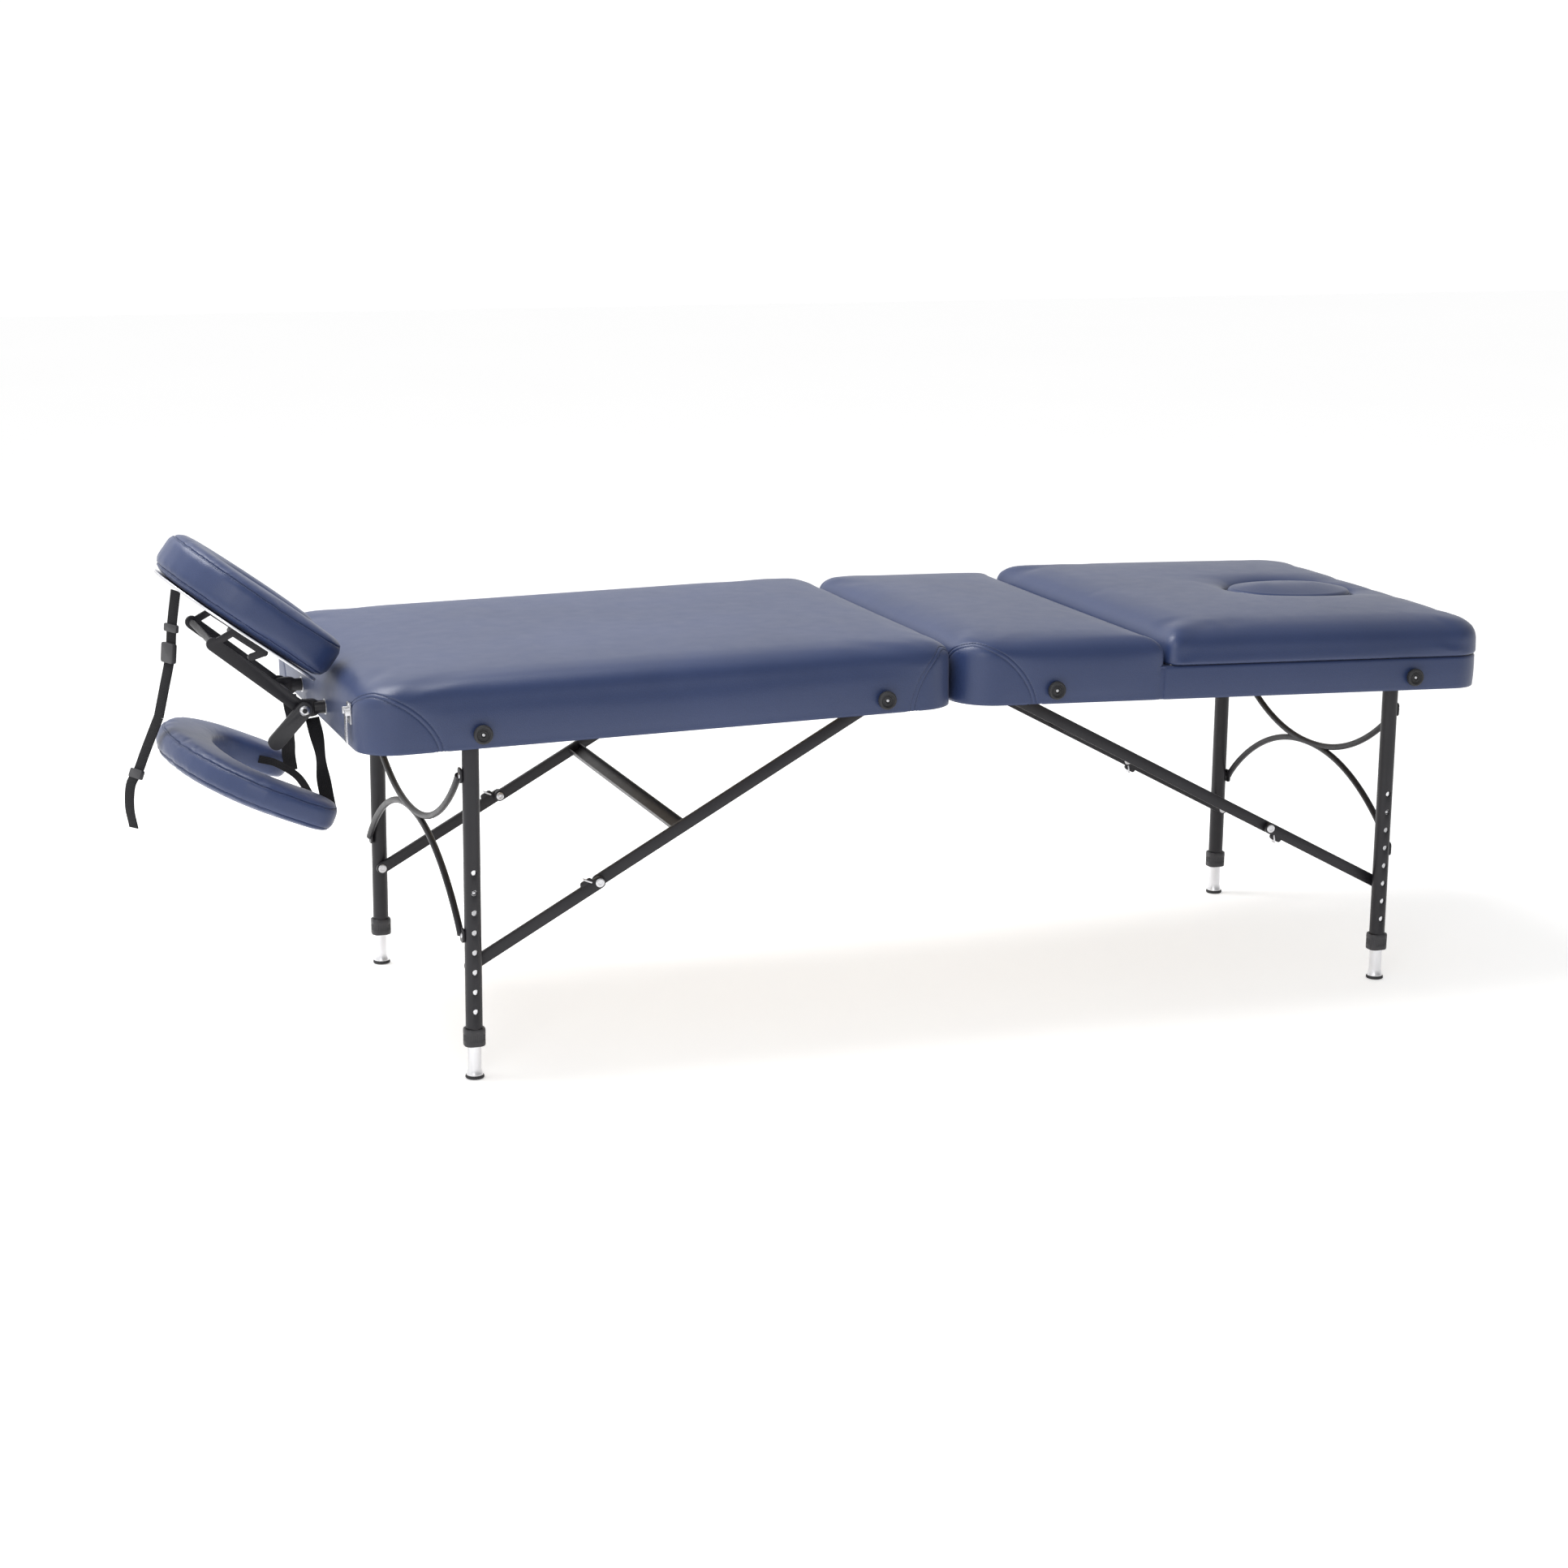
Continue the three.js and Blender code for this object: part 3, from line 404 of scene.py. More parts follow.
def powder_coat():
    f = Finish("charcoal_powder_coat")
    f.bump(f.noise(900, 3), 0.08, 0.5)
    tone = f.colours(f.noise(9, 4), (0.3, (0.012, 0.0115, 0.014)), (0.7, (0.017, 0.016, 0.020)))
    return f.set(Base_Color=tone, Roughness=f.spread(f.noise(60, 4), 0.34, 0.48), Specular_IOR_Level=0.36)


def brushed(name, tone, rough, stretch, scale=300):
    """Bare metal with fine drawn lines along the axis where stretch is small."""
    f = Finish(name)
    lines = f.noise(scale, 4, f.stretched(*stretch))
    f.bump(lines, 0.03, 0.35)
    low = tuple(0.93 * c for c in tone)
    colour = f.colours(lines, (0.2, low), (0.8, tone))
    return f.set(Base_Color=colour, Roughness=f.spread(lines, rough - 0.07, rough + 0.08), Metallic=1.0)


def rubber():
    f = Finish("black_rubber")
    f.bump(f.noise(700, 4), 0.12, 0.6)
    tone = f.colours(f.noise(25, 4), (0.3, (0.016, 0.016, 0.018)), (0.75, (0.028, 0.028, 0.031)))
    return f.set(Base_Color=tone, Roughness=f.spread(f.noise(120, 3), 0.58, 0.78))


def plastic():
    f = Finish("black_plastic")
    f.bump(f.cells(1500), 0.05, 0.4)
    tone = f.colours(f.noise(18, 3), (0.3, (0.022, 0.022, 0.025)), (0.7, (0.032, 0.031, 0.035)))
    return f.set(Base_Color=tone, Roughness=f.spread(f.noise(90, 3), 0.36, 0.5))


def webbing_cloth():
    """Woven polypropylene tape: a herringbone of ribs along and across the UV map, in metres."""
    f = Finish("black_webbing")
    uv = f.node("ShaderNodeTexCoord").outputs["UV"]
    ribs = {0: f.bands(170.0, "X", uv, 0.4), 1: f.bands(230.0, "DIAGONAL", uv, 0.4)}
    woven = f.node("ShaderNodeMath", ribs, operation="MULTIPLY").outputs["Value"]
    f.bump(woven, 0.5, 0.8)
    f.bump(f.noise(1800, 2), 0.06, 0.5)
    tone = f.colours(woven, (0.1, (0.006, 0.006, 0.007)), (0.8, (0.022, 0.022, 0.026)))
    return f.set(Base_Color=tone, Roughness=0.8, Sheen_Weight=0.03, Specular_IOR_Level=0.14)


def plywood():
    """Pale birch: a grain drawn out along the table, and its plies one above another."""
    f = Finish("birch_plywood")
    grain = f.noise(55, 6, f.stretched(0.12, 1, 1), 0.6)
    tone = f.colours(grain, (0.3, (0.33, 0.26, 0.18)), (0.55, (0.42, 0.34, 0.25)), (0.8, (0.48, 0.41, 0.31)))
    plies = f.bands(90.0, "Z", distortion=0.6)
    layered = f.colours(plies, (0.2, (0.86, 0.84, 0.80)), (0.5, (1.0, 1.0, 1.0)))
    f.bump(grain, 0.15, 0.5)
    return f.set(Base_Color=f.multiplied(0.6, tone, layered), Roughness=f.spread(grain, 0.5, 0.66))


FINISHES = {
    "navy_leather": leather(),
    "navy_thread": thread(),
    "charcoal_metal": powder_coat(),
    "bare_aluminium": brushed("satin_aluminium", (0.80, 0.80, 0.82), 0.34, (1, 1, 0.03)),
    "zinc_steel": brushed("zinc_plated_steel", (0.62, 0.62, 0.64), 0.28, (1, 1, 1), 500),
    "black_rubber": rubber(),
    "black_plastic": plastic(),
    "black_webbing": webbing_cloth(),
    "birch_plywood": plywood(),
}


# ---------------------------------------------------------------- padded covers
def rounded_plan(x, y, hx, hy, depth, inset, radius):
    """Takes points on a rectangle's rings, depth inside its edge, to a rounded rectangle's ring at inset.
    Gives the place and the outward normal of each point."""
    facing_x = (hx - abs(x)) <= (hy - abs(y))
    r = np.maximum(radius - inset, 0)
    front = np.where(facing_x, hx, hy) - inset
    half = np.where(facing_x, hy, hx) - inset
    along = np.where(facing_x, abs(y), abs(x))
    reach = np.where(facing_x, hy, hx) - depth
    wrap = r * np.pi / 4
    to_corner = reach - along
    on_arc = to_corner < wrap
    angle = np.where(on_arc, np.pi / 4 * (1 - to_corner / np.maximum(wrap, 1e-9)), 0)
    straight = (half - r) * along / np.maximum(reach - wrap, 1e-9)
    lengthwise = np.where(on_arc, half - r + r * np.sin(angle), straight)
    outward = front - r + r * np.cos(angle)
    sx, sy = np.where(x < 0, -1, 1), np.where(y < 0, -1, 1)
    px = sx * np.where(facing_x, outward, lengthwise)
    py = sy * np.where(facing_x, lengthwise, outward)
    nx = sx * np.where(facing_x, np.cos(angle), np.sin(angle))
    ny = sy * np.where(facing_x, np.sin(angle), np.cos(angle))
    return px, py, nx, ny


class Cover:
    """The upholstered shell of a deck pad, in (u, y, w) millimetres: a crowned top with rounded edges, four
    corners of their own radius, sides down to a hem, and an oval hole where one is asked for."""

    STEP = 12.0  # about the length of a quad's side
    ROLL_TURN = np.pi / 2 + 0.4  # how far the hem rolls under
    OUTSIDE = 9.0  # the ring number of a cover without a hole

    def __init__(self, ends, half_width, heights, corners, roundings, crown, roll=0.0, hole=None):
        """corners are the radii at the low and high end, and roundings those of the top edge at the sides and
        at the high end; hole is (u, half length, half width, rounding)."""
        self.middle, self.hx, self.hy = (ends[0] + ends[1]) / 2, (ends[1] - ends[0]) / 2, half_width
        self.bottom, self.top = heights
        self.corners, self.crown, self.roll, self.hole = corners, crown, roll, hole
        self.rounding, self.end_rounding = roundings

    def edge_radius(self, nx):
        share = np.clip(nx, 0, 1) ** 2
        return self.rounding + (self.end_rounding - self.rounding) * share

    def corner_radius(self, x):
        return np.where(x < 0, self.corners[0], self.corners[1])

    def lines(self, half, holes):
        stops = sorted([-half, half] + holes)
        parts = []
        for a, b in zip(stops[:-1], stops[1:]):
            parts.append(np.linspace(a, b, max(2, round((b - a) / self.STEP)) + 1)[:-1])
        return np.append(np.concatenate(parts), half)

    def top_points(self, x, y):
        depth = np.minimum(self.hx - abs(x), self.hy - abs(y))
        corner = self.corner_radius(x)
        *_, nx, _ = rounded_plan(x, y, self.hx, self.hy, depth, depth, corner)
        r = self.edge_radius(nx)
        angle = np.where(depth < r, np.pi / 2 * (r + depth) / (2 * r), np.pi / 2)
        inset = np.where(depth < r, r - r * np.cos(angle), depth)
        px, py, _, _ = rounded_plan(x, y, self.hx, self.hy, depth, inset, corner)
        rise = self.crown * (1 - (px / self.hx) ** 4) * (1 - (py / self.hy) ** 4)
        return px, py, self.top - self.crown - r + r * np.sin(angle) + rise * np.minimum(1, inset / 60)

    def side_points(self, x, y, fall, under):
        """Points on the side, both shares 0 to 1: fall goes from the middle of the top edge's rounding to the
        foot of the wall, and under from there round the rolled hem."""
        corner = self.corner_radius(x)
        zero = np.zeros_like(x)
        *_, nx, _ = rounded_plan(x, y, self.hx, self.hy, zero, zero, corner)
        r = self.edge_radius(nx)
        top = self.top - self.crown
        wall = top - r - self.bottom - self.roll
        d = fall * (r * np.pi / 4 + wall) + under * self.roll * self.ROLL_TURN
        angle = np.maximum(np.pi / 4 - d / r, 0)
        inset = r - r * np.cos(angle)
        height = np.where(d < r * np.pi / 4, top - r + r * np.sin(angle), top - r - (d - r * np.pi / 4))
        if self.roll:
            turn = under * self.ROLL_TURN
            curl = np.clip(turn, 0, np.pi / 2)
            inset = inset + self.roll * (1 - math.cos(curl)) + self.roll * max(turn - np.pi / 2, 0)
            if under:
                height = np.full_like(x, self.bottom + self.roll * (1 - math.sin(curl)))
        px, py, _, _ = rounded_plan(x, y, self.hx, self.hy, zero, inset, corner)
        return px, py, height

    def around_hole(self, x, y, px, py, pz):
        """Bends the grid round the oval hole, dips it there and rounds the rim.

        Gives each point's ring as well: 1 on the hole's edge, less within it, and growing outwards."""
        u, a, b, r = self.hole
        cx = u - self.middle
        dx, dy = x - cx, y
        by_length, by_width = abs(dx) / a, abs(dy) / b
        ring = np.maximum(by_length, by_width)
        at_end = by_length >= by_width
        turn = np.pi / 4 * (np.where(at_end, by_width, by_length) / np.maximum(ring, 1e-9))
        flat_x = np.where(at_end, np.cos(turn), np.sin(turn)) * ring * a * np.sign(dx)
        flat_y = np.where(at_end, np.sin(turn), np.cos(turn)) * ring * b * np.sign(dy)
        near = np.clip((1.55 - ring) / 0.55, 0, 1)
        blend = near * near * (3 - 2 * near)
        px = px + (cx + flat_x - px) * blend
        py = py + (flat_y - py) * blend
        away = np.hypot(flat_x, flat_y)
        gap = (ring - 1) * away / np.maximum(ring, 1e-9)
        rim = (gap < r) & (ring > 1 - 1e-9)
        angle = np.where(rim, np.pi / 2 * (r + gap) / (2 * r), np.pi / 2)
        shift = np.where(rim, r * (1 - np.cos(angle)) - gap, 0) / np.maximum(away, 1e-9)
        dip = 4.5 * np.clip((1.5 - ring) / 0.5, 0, 1) ** 2
        pz = pz - np.where(rim, r * (1 - np.sin(angle)), 0) - dip
        return px + flat_x * shift, py + flat_y * shift, pz, ring

    def shape(self):
        holes = [[], []]
        if self.hole:
            u, a, b, _ = self.hole
            holes = [[u - self.middle - a, u - self.middle + a], [-b, b]]
        xs, ys = self.lines(self.hx, holes[0]), self.lines(self.hy, holes[1])
        nx, ny = len(xs), len(ys)
        gx, gy = [g.ravel() for g in np.meshgrid(xs, ys, indexing="ij")]
        px, py, pz = self.top_points(gx, gy)
        ring = np.full(gx.shape, self.OUTSIDE)
        if self.hole:
            px, py, pz, ring = self.around_hole(gx, gy, px, py, pz)
        points = [np.column_stack([px, py, pz])]
        index = np.arange(nx * ny).reshape(nx, ny)
        quads = np.stack([index[:-1, :-1], index[1:, :-1], index[1:, 1:], index[:-1, 1:]], -1).reshape(-1, 4)
        faces = [tuple(q) for q in quads if ring[q].mean() > 1 or not self.hole]
        border = self.border(index)
        count = max(5, round((self.top - self.bottom) / 8))
        steps = [((k + 1) / count, 0) for k in range(count)]
        if self.roll:
            steps += [(1, under) for under in (0.2, 0.4, 0.6, 0.8, 1.0)]
        walls = [self.side_points(gx[border], gy[border], *step) for step in steps]
        self.add_wall(points, faces, border, walls)
        if self.hole:
            self.add_hole_wall(points, faces, index, xs, ys, holes)
        points = np.vstack(points)
        points[:, 0] += self.middle
        used = sorted({i for face in faces for i in face})
        place = {old: new for new, old in enumerate(used)}
        return points[used], [tuple(place[i] for i in face) for face in faces]

    @staticmethod
    def border(index):
        """The numbers round the edge of a grid of point numbers."""
        return [*index[:, 0], *index[-1, 1:], *index[-2::-1, -1], *index[0, -2:0:-1]]

    @staticmethod
    def add_wall(points, faces, border, rows):
        """Adds rows of points below a closed border, each given as (x, y, z), and the quads between them."""
        start = sum(len(p) for p in points)
        above = list(border)
        for row in rows:
            below = list(range(start, start + len(border)))
            points.append(np.column_stack(row))
            for i in range(len(border)):
                j = (i + 1) % len(border)
                faces.append((above[i], below[i], below[j], above[j]))
            above, start = below, start + len(border)

    def add_hole_wall(self, points, faces, index, xs, ys, holes):
        i0, i1 = [int(np.argmin(abs(xs - v))) for v in holes[0]]
        j0, j1 = [int(np.argmin(abs(ys - v))) for v in holes[1]]
        sub = index[i0 : i1 + 1, j0 : j1 + 1]
        border = self.border(sub)
        u, a, b, r = self.hole
        edge = points[0][border]
        centre = u - self.middle
        angle = np.arctan2(edge[:, 1] / b, (edge[:, 0] - centre) / a)
        x, y = centre + a * np.cos(angle), b * np.sin(angle)
        start = edge[:, 2] - r * 0.25
        rows = [(x, y, start + (self.bottom - start) * share) for share in (0.18, 0.4, 0.7, 1.0)]
        self.add_wall(points, faces, border, rows)


def inflate(obj, pinned, cap, frames=18, bending=2.0):
    """Air pressure pushes a cover out between its pinned points, none of them by more than cap metres."""
    rest = coordinates(obj.data)
    group = obj.vertex_groups.new(name="pinned")
    for i, weight in enumerate(pinned):
        if weight > 0:
            group.add([i], float(weight), "REPLACE")
    cloth = obj.modifiers.new("Cloth", "CLOTH")
    settings = cloth.settings
    settings.quality = 5
    settings.use_pressure = True
    settings.uniform_pressure_force = 4.0
    settings.vertex_group_mass = group.name
    settings.bending_stiffness = bending
    settings.effector_weights.gravity = 0
    cloth.collision_settings.use_collision = False
    scene = bpy.context.scene
    cloth.point_cache.frame_start, cloth.point_cache.frame_end = 1, frames
    for number in range(1, frames + 1):
        scene.frame_set(number)
    evaluated = obj.evaluated_get(bpy.context.evaluated_depsgraph_get())
    blown = coordinates(evaluated.data)
    obj.modifiers.clear()
    obj.vertex_groups.clear()
    scene.frame_set(1)
    move = blown - rest
    distance = np.linalg.norm(move, axis=1)[:, None]
    limited = rest + move * cap / (cap + distance)
    obj.data.vertices.foreach_set("co", limited.ravel())
    obj.data.update()


# ---------------------------------------------------------------- seams
SEAM_HALF_BAND = 3.3 * MM  # from the seam to each of its two rows of stitches
SEAM_STEP = 0.5 * MM  # between the points of a seam laid on a cover
RIDGE = 0.5 * MM  # how high the leather stands between the rows
STITCH = {"length": 3.2 * MM, "pitch": 4.4 * MM, "radius": 0.42 * MM, "lift": 0.1 * MM}


def surface_of(obj):
    bm = bmesh.new()
    bm.from_mesh(obj.data)
    tree = BVHTree.FromBMesh(bm)
    bm.free()
    return tree


def resampled(values, along, even):
    """Rows of values, known at distances along a curve, read at other distances."""
    return np.column_stack([np.interp(even, along, column) for column in values.T])


def distances(points):
    """How far along a path each of its points is."""
    return np.append(0, np.cumsum(np.linalg.norm(np.diff(points, axis=0), axis=1)))


def laid_on(tree, points):
    """Points and smoothed normals of a curve laid on a surface, evenly spaced."""
    placed, normals = [], []
    for point in points:
        place, normal, _, _ = tree.find_nearest(Vector(point))
        placed.append(place)
        normals.append(normal)
    placed = np.array(placed)
    along = distances(placed)
    even = np.arange(0, along[-1], SEAM_STEP)
    normals = resampled(np.array(normals), along, even)
    span = 7
    kernel = np.ones(2 * span + 1) / (2 * span + 1)
    for k in range(3):
        normals[:, k] = np.convolve(np.pad(normals[:, k], span, mode="edge"), kernel, "valid")
    return resampled(placed, along, even), normals / np.linalg.norm(normals, axis=1)[:, None]


def nearest_among(points):
    """A tree that finds the nearest of some points."""
    tree = KDTree(len(points))
    for i, point in enumerate(points):
        tree.insert(Vector(point), i)
    tree.balance()
    return tree


def sew(obj, curves, depth=0.9 * MM, band=SEAM_HALF_BAND):
    """Refines a cover's mesh along curves and presses a double line in there, or one line if band is 0."""
    tree = nearest_among([point for curve in curves for point in curve])
    bm = bmesh.new()
    bm.from_mesh(obj.data)
    every_axis = {"use_axis_x": True, "use_axis_y": True, "use_axis_z": True}
    for reach, longest in ((13, 4.2), (9, 2.1), (6.5, 1.05)):
        near = []
        for edge in bm.edges:
            middle = (edge.verts[0].co + edge.verts[1].co) / 2
            if edge.calc_length() > longest * 0.75 * MM and tree.find(middle)[2] < reach * MM:
                near.append(edge)
        made = bmesh.ops.subdivide_edges(bm, edges=near, cuts=1, use_grid_fill=True)
        fresh = [v for v in made["geom_inner"] if isinstance(v, bmesh.types.BMVert)]
        for _ in range(2):
            bmesh.ops.smooth_vert(bm, verts=fresh, factor=0.5, **every_axis)
    bm.normal_update()
    moves = []
    for vertex in bm.verts:
        distance = tree.find(vertex.co)[2]
        if distance > 12 * MM:
            continue
        groove = depth * math.exp(-(((distance - band) / (0.9 * MM)) ** 2))
        puff = RIDGE * math.exp(-((distance / (0.6 * band)) ** 2)) if band else 0
        valley = 0.8 * MM * math.exp(-((distance / (5.5 * MM)) ** 2))
        moves.append((vertex, vertex.normal * (puff - groove - valley)))
    for vertex, move in moves:
        vertex.co += move
    bm.to_mesh(obj.data)
    bm.free()
    obj.data.shade_smooth()


def stitches(curve, normals):
    """A row of stitches along a curve."""
    tangents = np.gradient(curve, axis=0)
    pitch, half = round(STITCH["pitch"] / SEAM_STEP), STITCH["length"] / 2
    spindle = [(0.35, -1.0), (0.8, -0.8), (1.0, 0.0), (0.8, 0.8), (0.35, 1.0)]
    placed = [(STITCH["radius"] * r, half * h) for r, h in spindle]
    shapes = []
    for k in range(4, len(curve) - 4, pitch):
        shapes.append(lathe(placed, curve[k] + STITCH["lift"] * normals[k], unit(tangents[k]), 6))
    return shapes


def stitched_seams(name, obj, curves, body, offsets=(-SEAM_HALF_BAND, SEAM_HALF_BAND), **groove):
    """Sews curves into a cover and adds their thread."""
    surface = surface_of(obj)
    laid = [laid_on(surface, curve) for curve in curves]
    sew(obj, [points for points, _ in laid], **groove)
    surface = surface_of(obj)
    shapes = []
    for points, normals in laid:
        tangents = np.gradient(points, axis=0)
        for offset in offsets:
            row = []
            for point, normal, tangent in zip(points, normals, tangents):
                beside = point + offset * np.cross(unit(tangent), normal)
                row.append(surface.find_nearest(Vector(beside))[0])
            shapes += stitches(np.array(row), normals)
    thread_piece = add_object(name, merged(shapes), 60)
    dress(thread_piece, body, "navy_leather", finish="navy_thread")


def corner_arch(cover, end, side, along_side, along_end, height):
    """The arched seam of a corner panel, in (u, y, w): from hem to hem, highest at the corner's middle."""
    radius = cover.corners[0] if end < 0 else cover.corners[1]
    bulge = 1.6  # 2 would be half an ellipse, and less is squarer
    points = []
    for t in np.linspace(0.02, np.pi - 0.02, 60):
        c = math.cos(t)
        reach = (along_side if c > 0 else along_end) * abs(c) ** (2 / bulge)
        rise = height * math.sin(t) ** (2 / bulge)
        quarter = radius * np.pi / 4
        angle = np.pi / 4 + math.copysign(min(reach, quarter) / radius, c)
        x = cover.hx - radius + radius * math.cos(angle)
        y = cover.hy - radius + radius * math.sin(angle)
        nx, ny = math.cos(angle), math.sin(angle)
        beyond = max(reach - quarter, 0)
        x, y = (x - beyond, y) if c > 0 else (x, y - beyond)
        r = cover.edge_radius(nx if end > 0 else 0)
        top = cover.top - cover.crown
        bend = max(rise - (top - r), 0) / r
        inset, w = (r * (1 - math.cos(bend)), top - r + r * math.sin(bend)) if bend else (0, rise)
        points.append((cover.middle + end * (x - inset * nx), side * (y - inset * ny), w))
    return points


def in_deck(half, points):
    """Points in a half's (u, y, w) millimetres, taken to the row frame."""
    return moved((points, None), DECK[half])[0]


def without_end(cover, faces, points, height):
    """A cover's faces without those of the high end's side that lie below a height."""
    limit = cover.middle + cover.hx - 2
    middles = [np.mean([points[i] for i in face], axis=0) for face in faces]
    return [face for face, (u, _, w) in zip(faces, middles) if not (u > limit and w < height)]


def held(half, obj, cover, arches, open_end):
    """How firmly each point of a cover is held, 0 to 1: at the hem, along seams, and at an open end."""
    local = moved((coordinates(obj.data), None), DECK[half].inverted())[0]
    pinned = np.clip((cover.bottom + 14 - local[:, 2]) / 12, 0, 1)
    if open_end:
        pinned = np.maximum(pinned, np.clip((local[:, 0] - cover.middle - cover.hx + 26) / 16, 0, 1))
    for arch in arches:
        tree = nearest_among(in_deck(half, arch))
        near = np.array([tree.find(v.co)[2] for v in obj.data.vertices]) / MM
        pinned = np.maximum(pinned, np.clip(1.3 - near / 12, 0, 1))
    return pinned


def pad(name, half, body, cover, nodes, arches=(), cap=5.0, skin=3.0, open_end=0.0):
    """A deck pad: its cover is blown up, subdivided, sewn, and given a thickness."""
    points, faces = cover.shape()
    if open_end:
        faces = without_end(cover, faces, points, open_end)
    obj = add_object(name, (in_deck(half, points), faces), 180)
    inflate(obj, held(half, obj, cover, arches, open_end), cap * MM)
    baked(obj, ("SUBSURF", {"levels": 1, "render_levels": 1}))
    if arches:
        stitched_seams(f"{name}_stitching", obj, [in_deck(half, arch) for arch in arches], body)
    baked(obj, ("SOLIDIFY", {"thickness": skin * MM, "offset": -1.0}))
    obj.data.shade_smooth()
    dress(obj, body, "navy_leather", nodes)


def deck_pads():
    head = Cover((2, 917), 338.5, (0, 103), (58, 58), (24, 38), crown=6)
    arches = []
    for side in (-1, 1):
        arches.append(corner_arch(head, 1, side, 101, 101, 88))
        arches.append(corner_arch(head, -1, side, 66, 66, 92))
    pad("head_pad_cover", "head", "head_half", head, ("head_pad",), arches)

    mid = Cover((2, 339.6), 339.6, (0, 101), (58, 9), (24, 34), crown=5)
    arches = [corner_arch(mid, -1, side, 105, 90, 96) for side in (-1, 1)]
    pad("mid_pad_cover", "foot", "foot_half", mid, ("mid_pad",), arches, open_end=40)

    opening = (BREATH_HOLE_U, 111.5, 79.5, 8)
    back = Cover((342.2, 919.5), 342.5, (52.9, 114), (20, 62), (27, 30), crown=8, roll=4.5, hole=opening)
    pad("backrest_pad_cover", "foot", "backrest", back, ("backrest_pad",), cap=6.0, skin=2.2)


# ---------------------------------------------------------------- places
def joint_point(name):
    return Vector(JOINTS[name]["pos_m"])


def table_point(x, y, z):
    """Millimetres in the whole table, x from left to right with the fold line at FOLD_X, taken to metres."""
    return (FOLD.x + (x - FOLD_X) * MM, y * MM, z * MM)


def scaled(shape):
    """A shape in millimetres, taken to metres."""
    return np.asarray(shape[0], float) * MM, shape[1]


def deck_piece(half, shape):
    """A shape in a half's (u, y, w) millimetres, taken to the row frame."""
    return moved(shape, DECK[half])


def ring_section(path_normals, section):
    """A closed section of (inset, height) carried along a path of (place, outward normal) in plan."""
    return loft([[(px - a * nx, py - a * ny, w) for a, w in section] for (px, py), (nx, ny) in path_normals])


# ---------------------------------------------------------------- base band, hinge flap and plug
def base_band():
    """The upholstered band round the foot half's frame, below the backrest."""
    start, end, half_width, radius = 339.0, 917.0, 340.0, 58.0
    tongue = [(start - 13, half_width - 2.4), (start - 1, half_width - 2.4)]
    path = [((u, -y), (0, -1)) for u, y in tongue]
    path += [((u, -half_width), (0, -1)) for u in np.linspace(start + 0.6, end - radius, 30)]
    for side, angles in ((-1, (-90, 0)), (1, (0, 90))):
        for angle in np.radians(np.linspace(*angles, 13)):
            normal = (math.cos(angle), math.sin(angle))
            centre = (end - radius, side * (half_width - radius))
            path.append(((centre[0] + radius * normal[0], centre[1] + radius * normal[1]), normal))
    path += [((u, half_width), (0, 1)) for u in np.linspace(end - radius, start + 0.6, 30)]
    path += [((u, y), (0, 1)) for u, y in reversed(tongue)]
    section = [(2.9, 0.4), (2.4, 0.0), (0.6, 0.0), (0.0, 0.8)]
    section += [(-0.8 * math.sin(math.pi * w / 47), w) for w in np.linspace(5, 44, 9)]
    section += arc(4.5, 47.5, 4.5, 4.5, 180, 90, 5) + [(12.0, 52.0), (12.4, 51.0), (12.4, 48.0), (12.0, 47.4)]
    section += [(4.0, 47.4), (2.9, 46.4)]
    obj = add_object("base_band", deck_piece("foot", ring_section(path, section)), 50)
    dress(obj, "foot_half", "navy_leather", ("base_cover",))


def hinge_flap():
    """The leather flap under the backrest's hinged edge, which closes the joint with the mid pad."""
    flap = plate(rounded_rectangle(328, 353, -338.6, 338.6, 2), 48.6, 52.2, 0.8)
    obj = add_object("backrest_hinge_flap", deck_piece("foot", flap))
    dress(obj, "foot_half", "navy_leather")


def plug():
    """The oval plug of the breath hole, domed, its edge turned well down, with a thin roll along its seam."""
    half_length, half_width, low, high = 109.0, 77.0, 59.6, 118.0
    profile = [(6, low), (2, low + 0.5), (0, low + 3), (0, high - 16)]
    for t in np.radians(range(15, 91, 15)):
        profile.append((9 - 9 * math.cos(t), high - 16 + 10 * math.sin(t)))
    for s in (0.08, 0.16, 0.25, 0.4, 0.6, 0.8):
        profile.append((9 + (half_width - 9) * s, high - 6 + 9 * math.sin(s * math.pi / 2)))
    rings = []
    for inset, w in profile:
        outline = ellipse(half_length - inset, max(half_width - inset, 2), 96)
        rings.append([(BREATH_HOLE_U + x, y, w) for x, y in outline])
    obj = add_object("breath_hole_plug_cover", deck_piece("foot", loft(rings)), 60)
    dress(obj, "breath_hole_plug", "navy_leather", ("breath_hole_plug",))
    rim = [(BREATH_HOLE_U + x, y, high - 14.5) for x, y in ellipse(half_length + 0.2, half_width + 0.2, 240)]
    roll = sweep(in_deck("foot", rim), ellipse(0.9 * MM, 0.9 * MM, 8), (0.01, 0.02, 1))
    dress(add_object("breath_hole_plug_seam", roll, 180), "breath_hole_plug", "navy_leather")


# ---------------------------------------------------------------- legs
TUBE = {"outer": 12.5, "wall": 1.6, "bottom": 56.0}
INNER = {"outer": 10.0, "wall": 1.5, "top": 330.0}
HOLES = {"radius": 4.4, "first": 103.5, "pitch": 30.0, "count": 8}
BUTTON_Z = 283.5


def cutters(centres, direction, radius, length):
    """One object with a round cutter at each centre, pointing along direction."""
    shapes = [lathe([(radius, 0), (radius, length)], c, direction, 32) for c in centres]
    return add_object("cutter", merged(shapes))


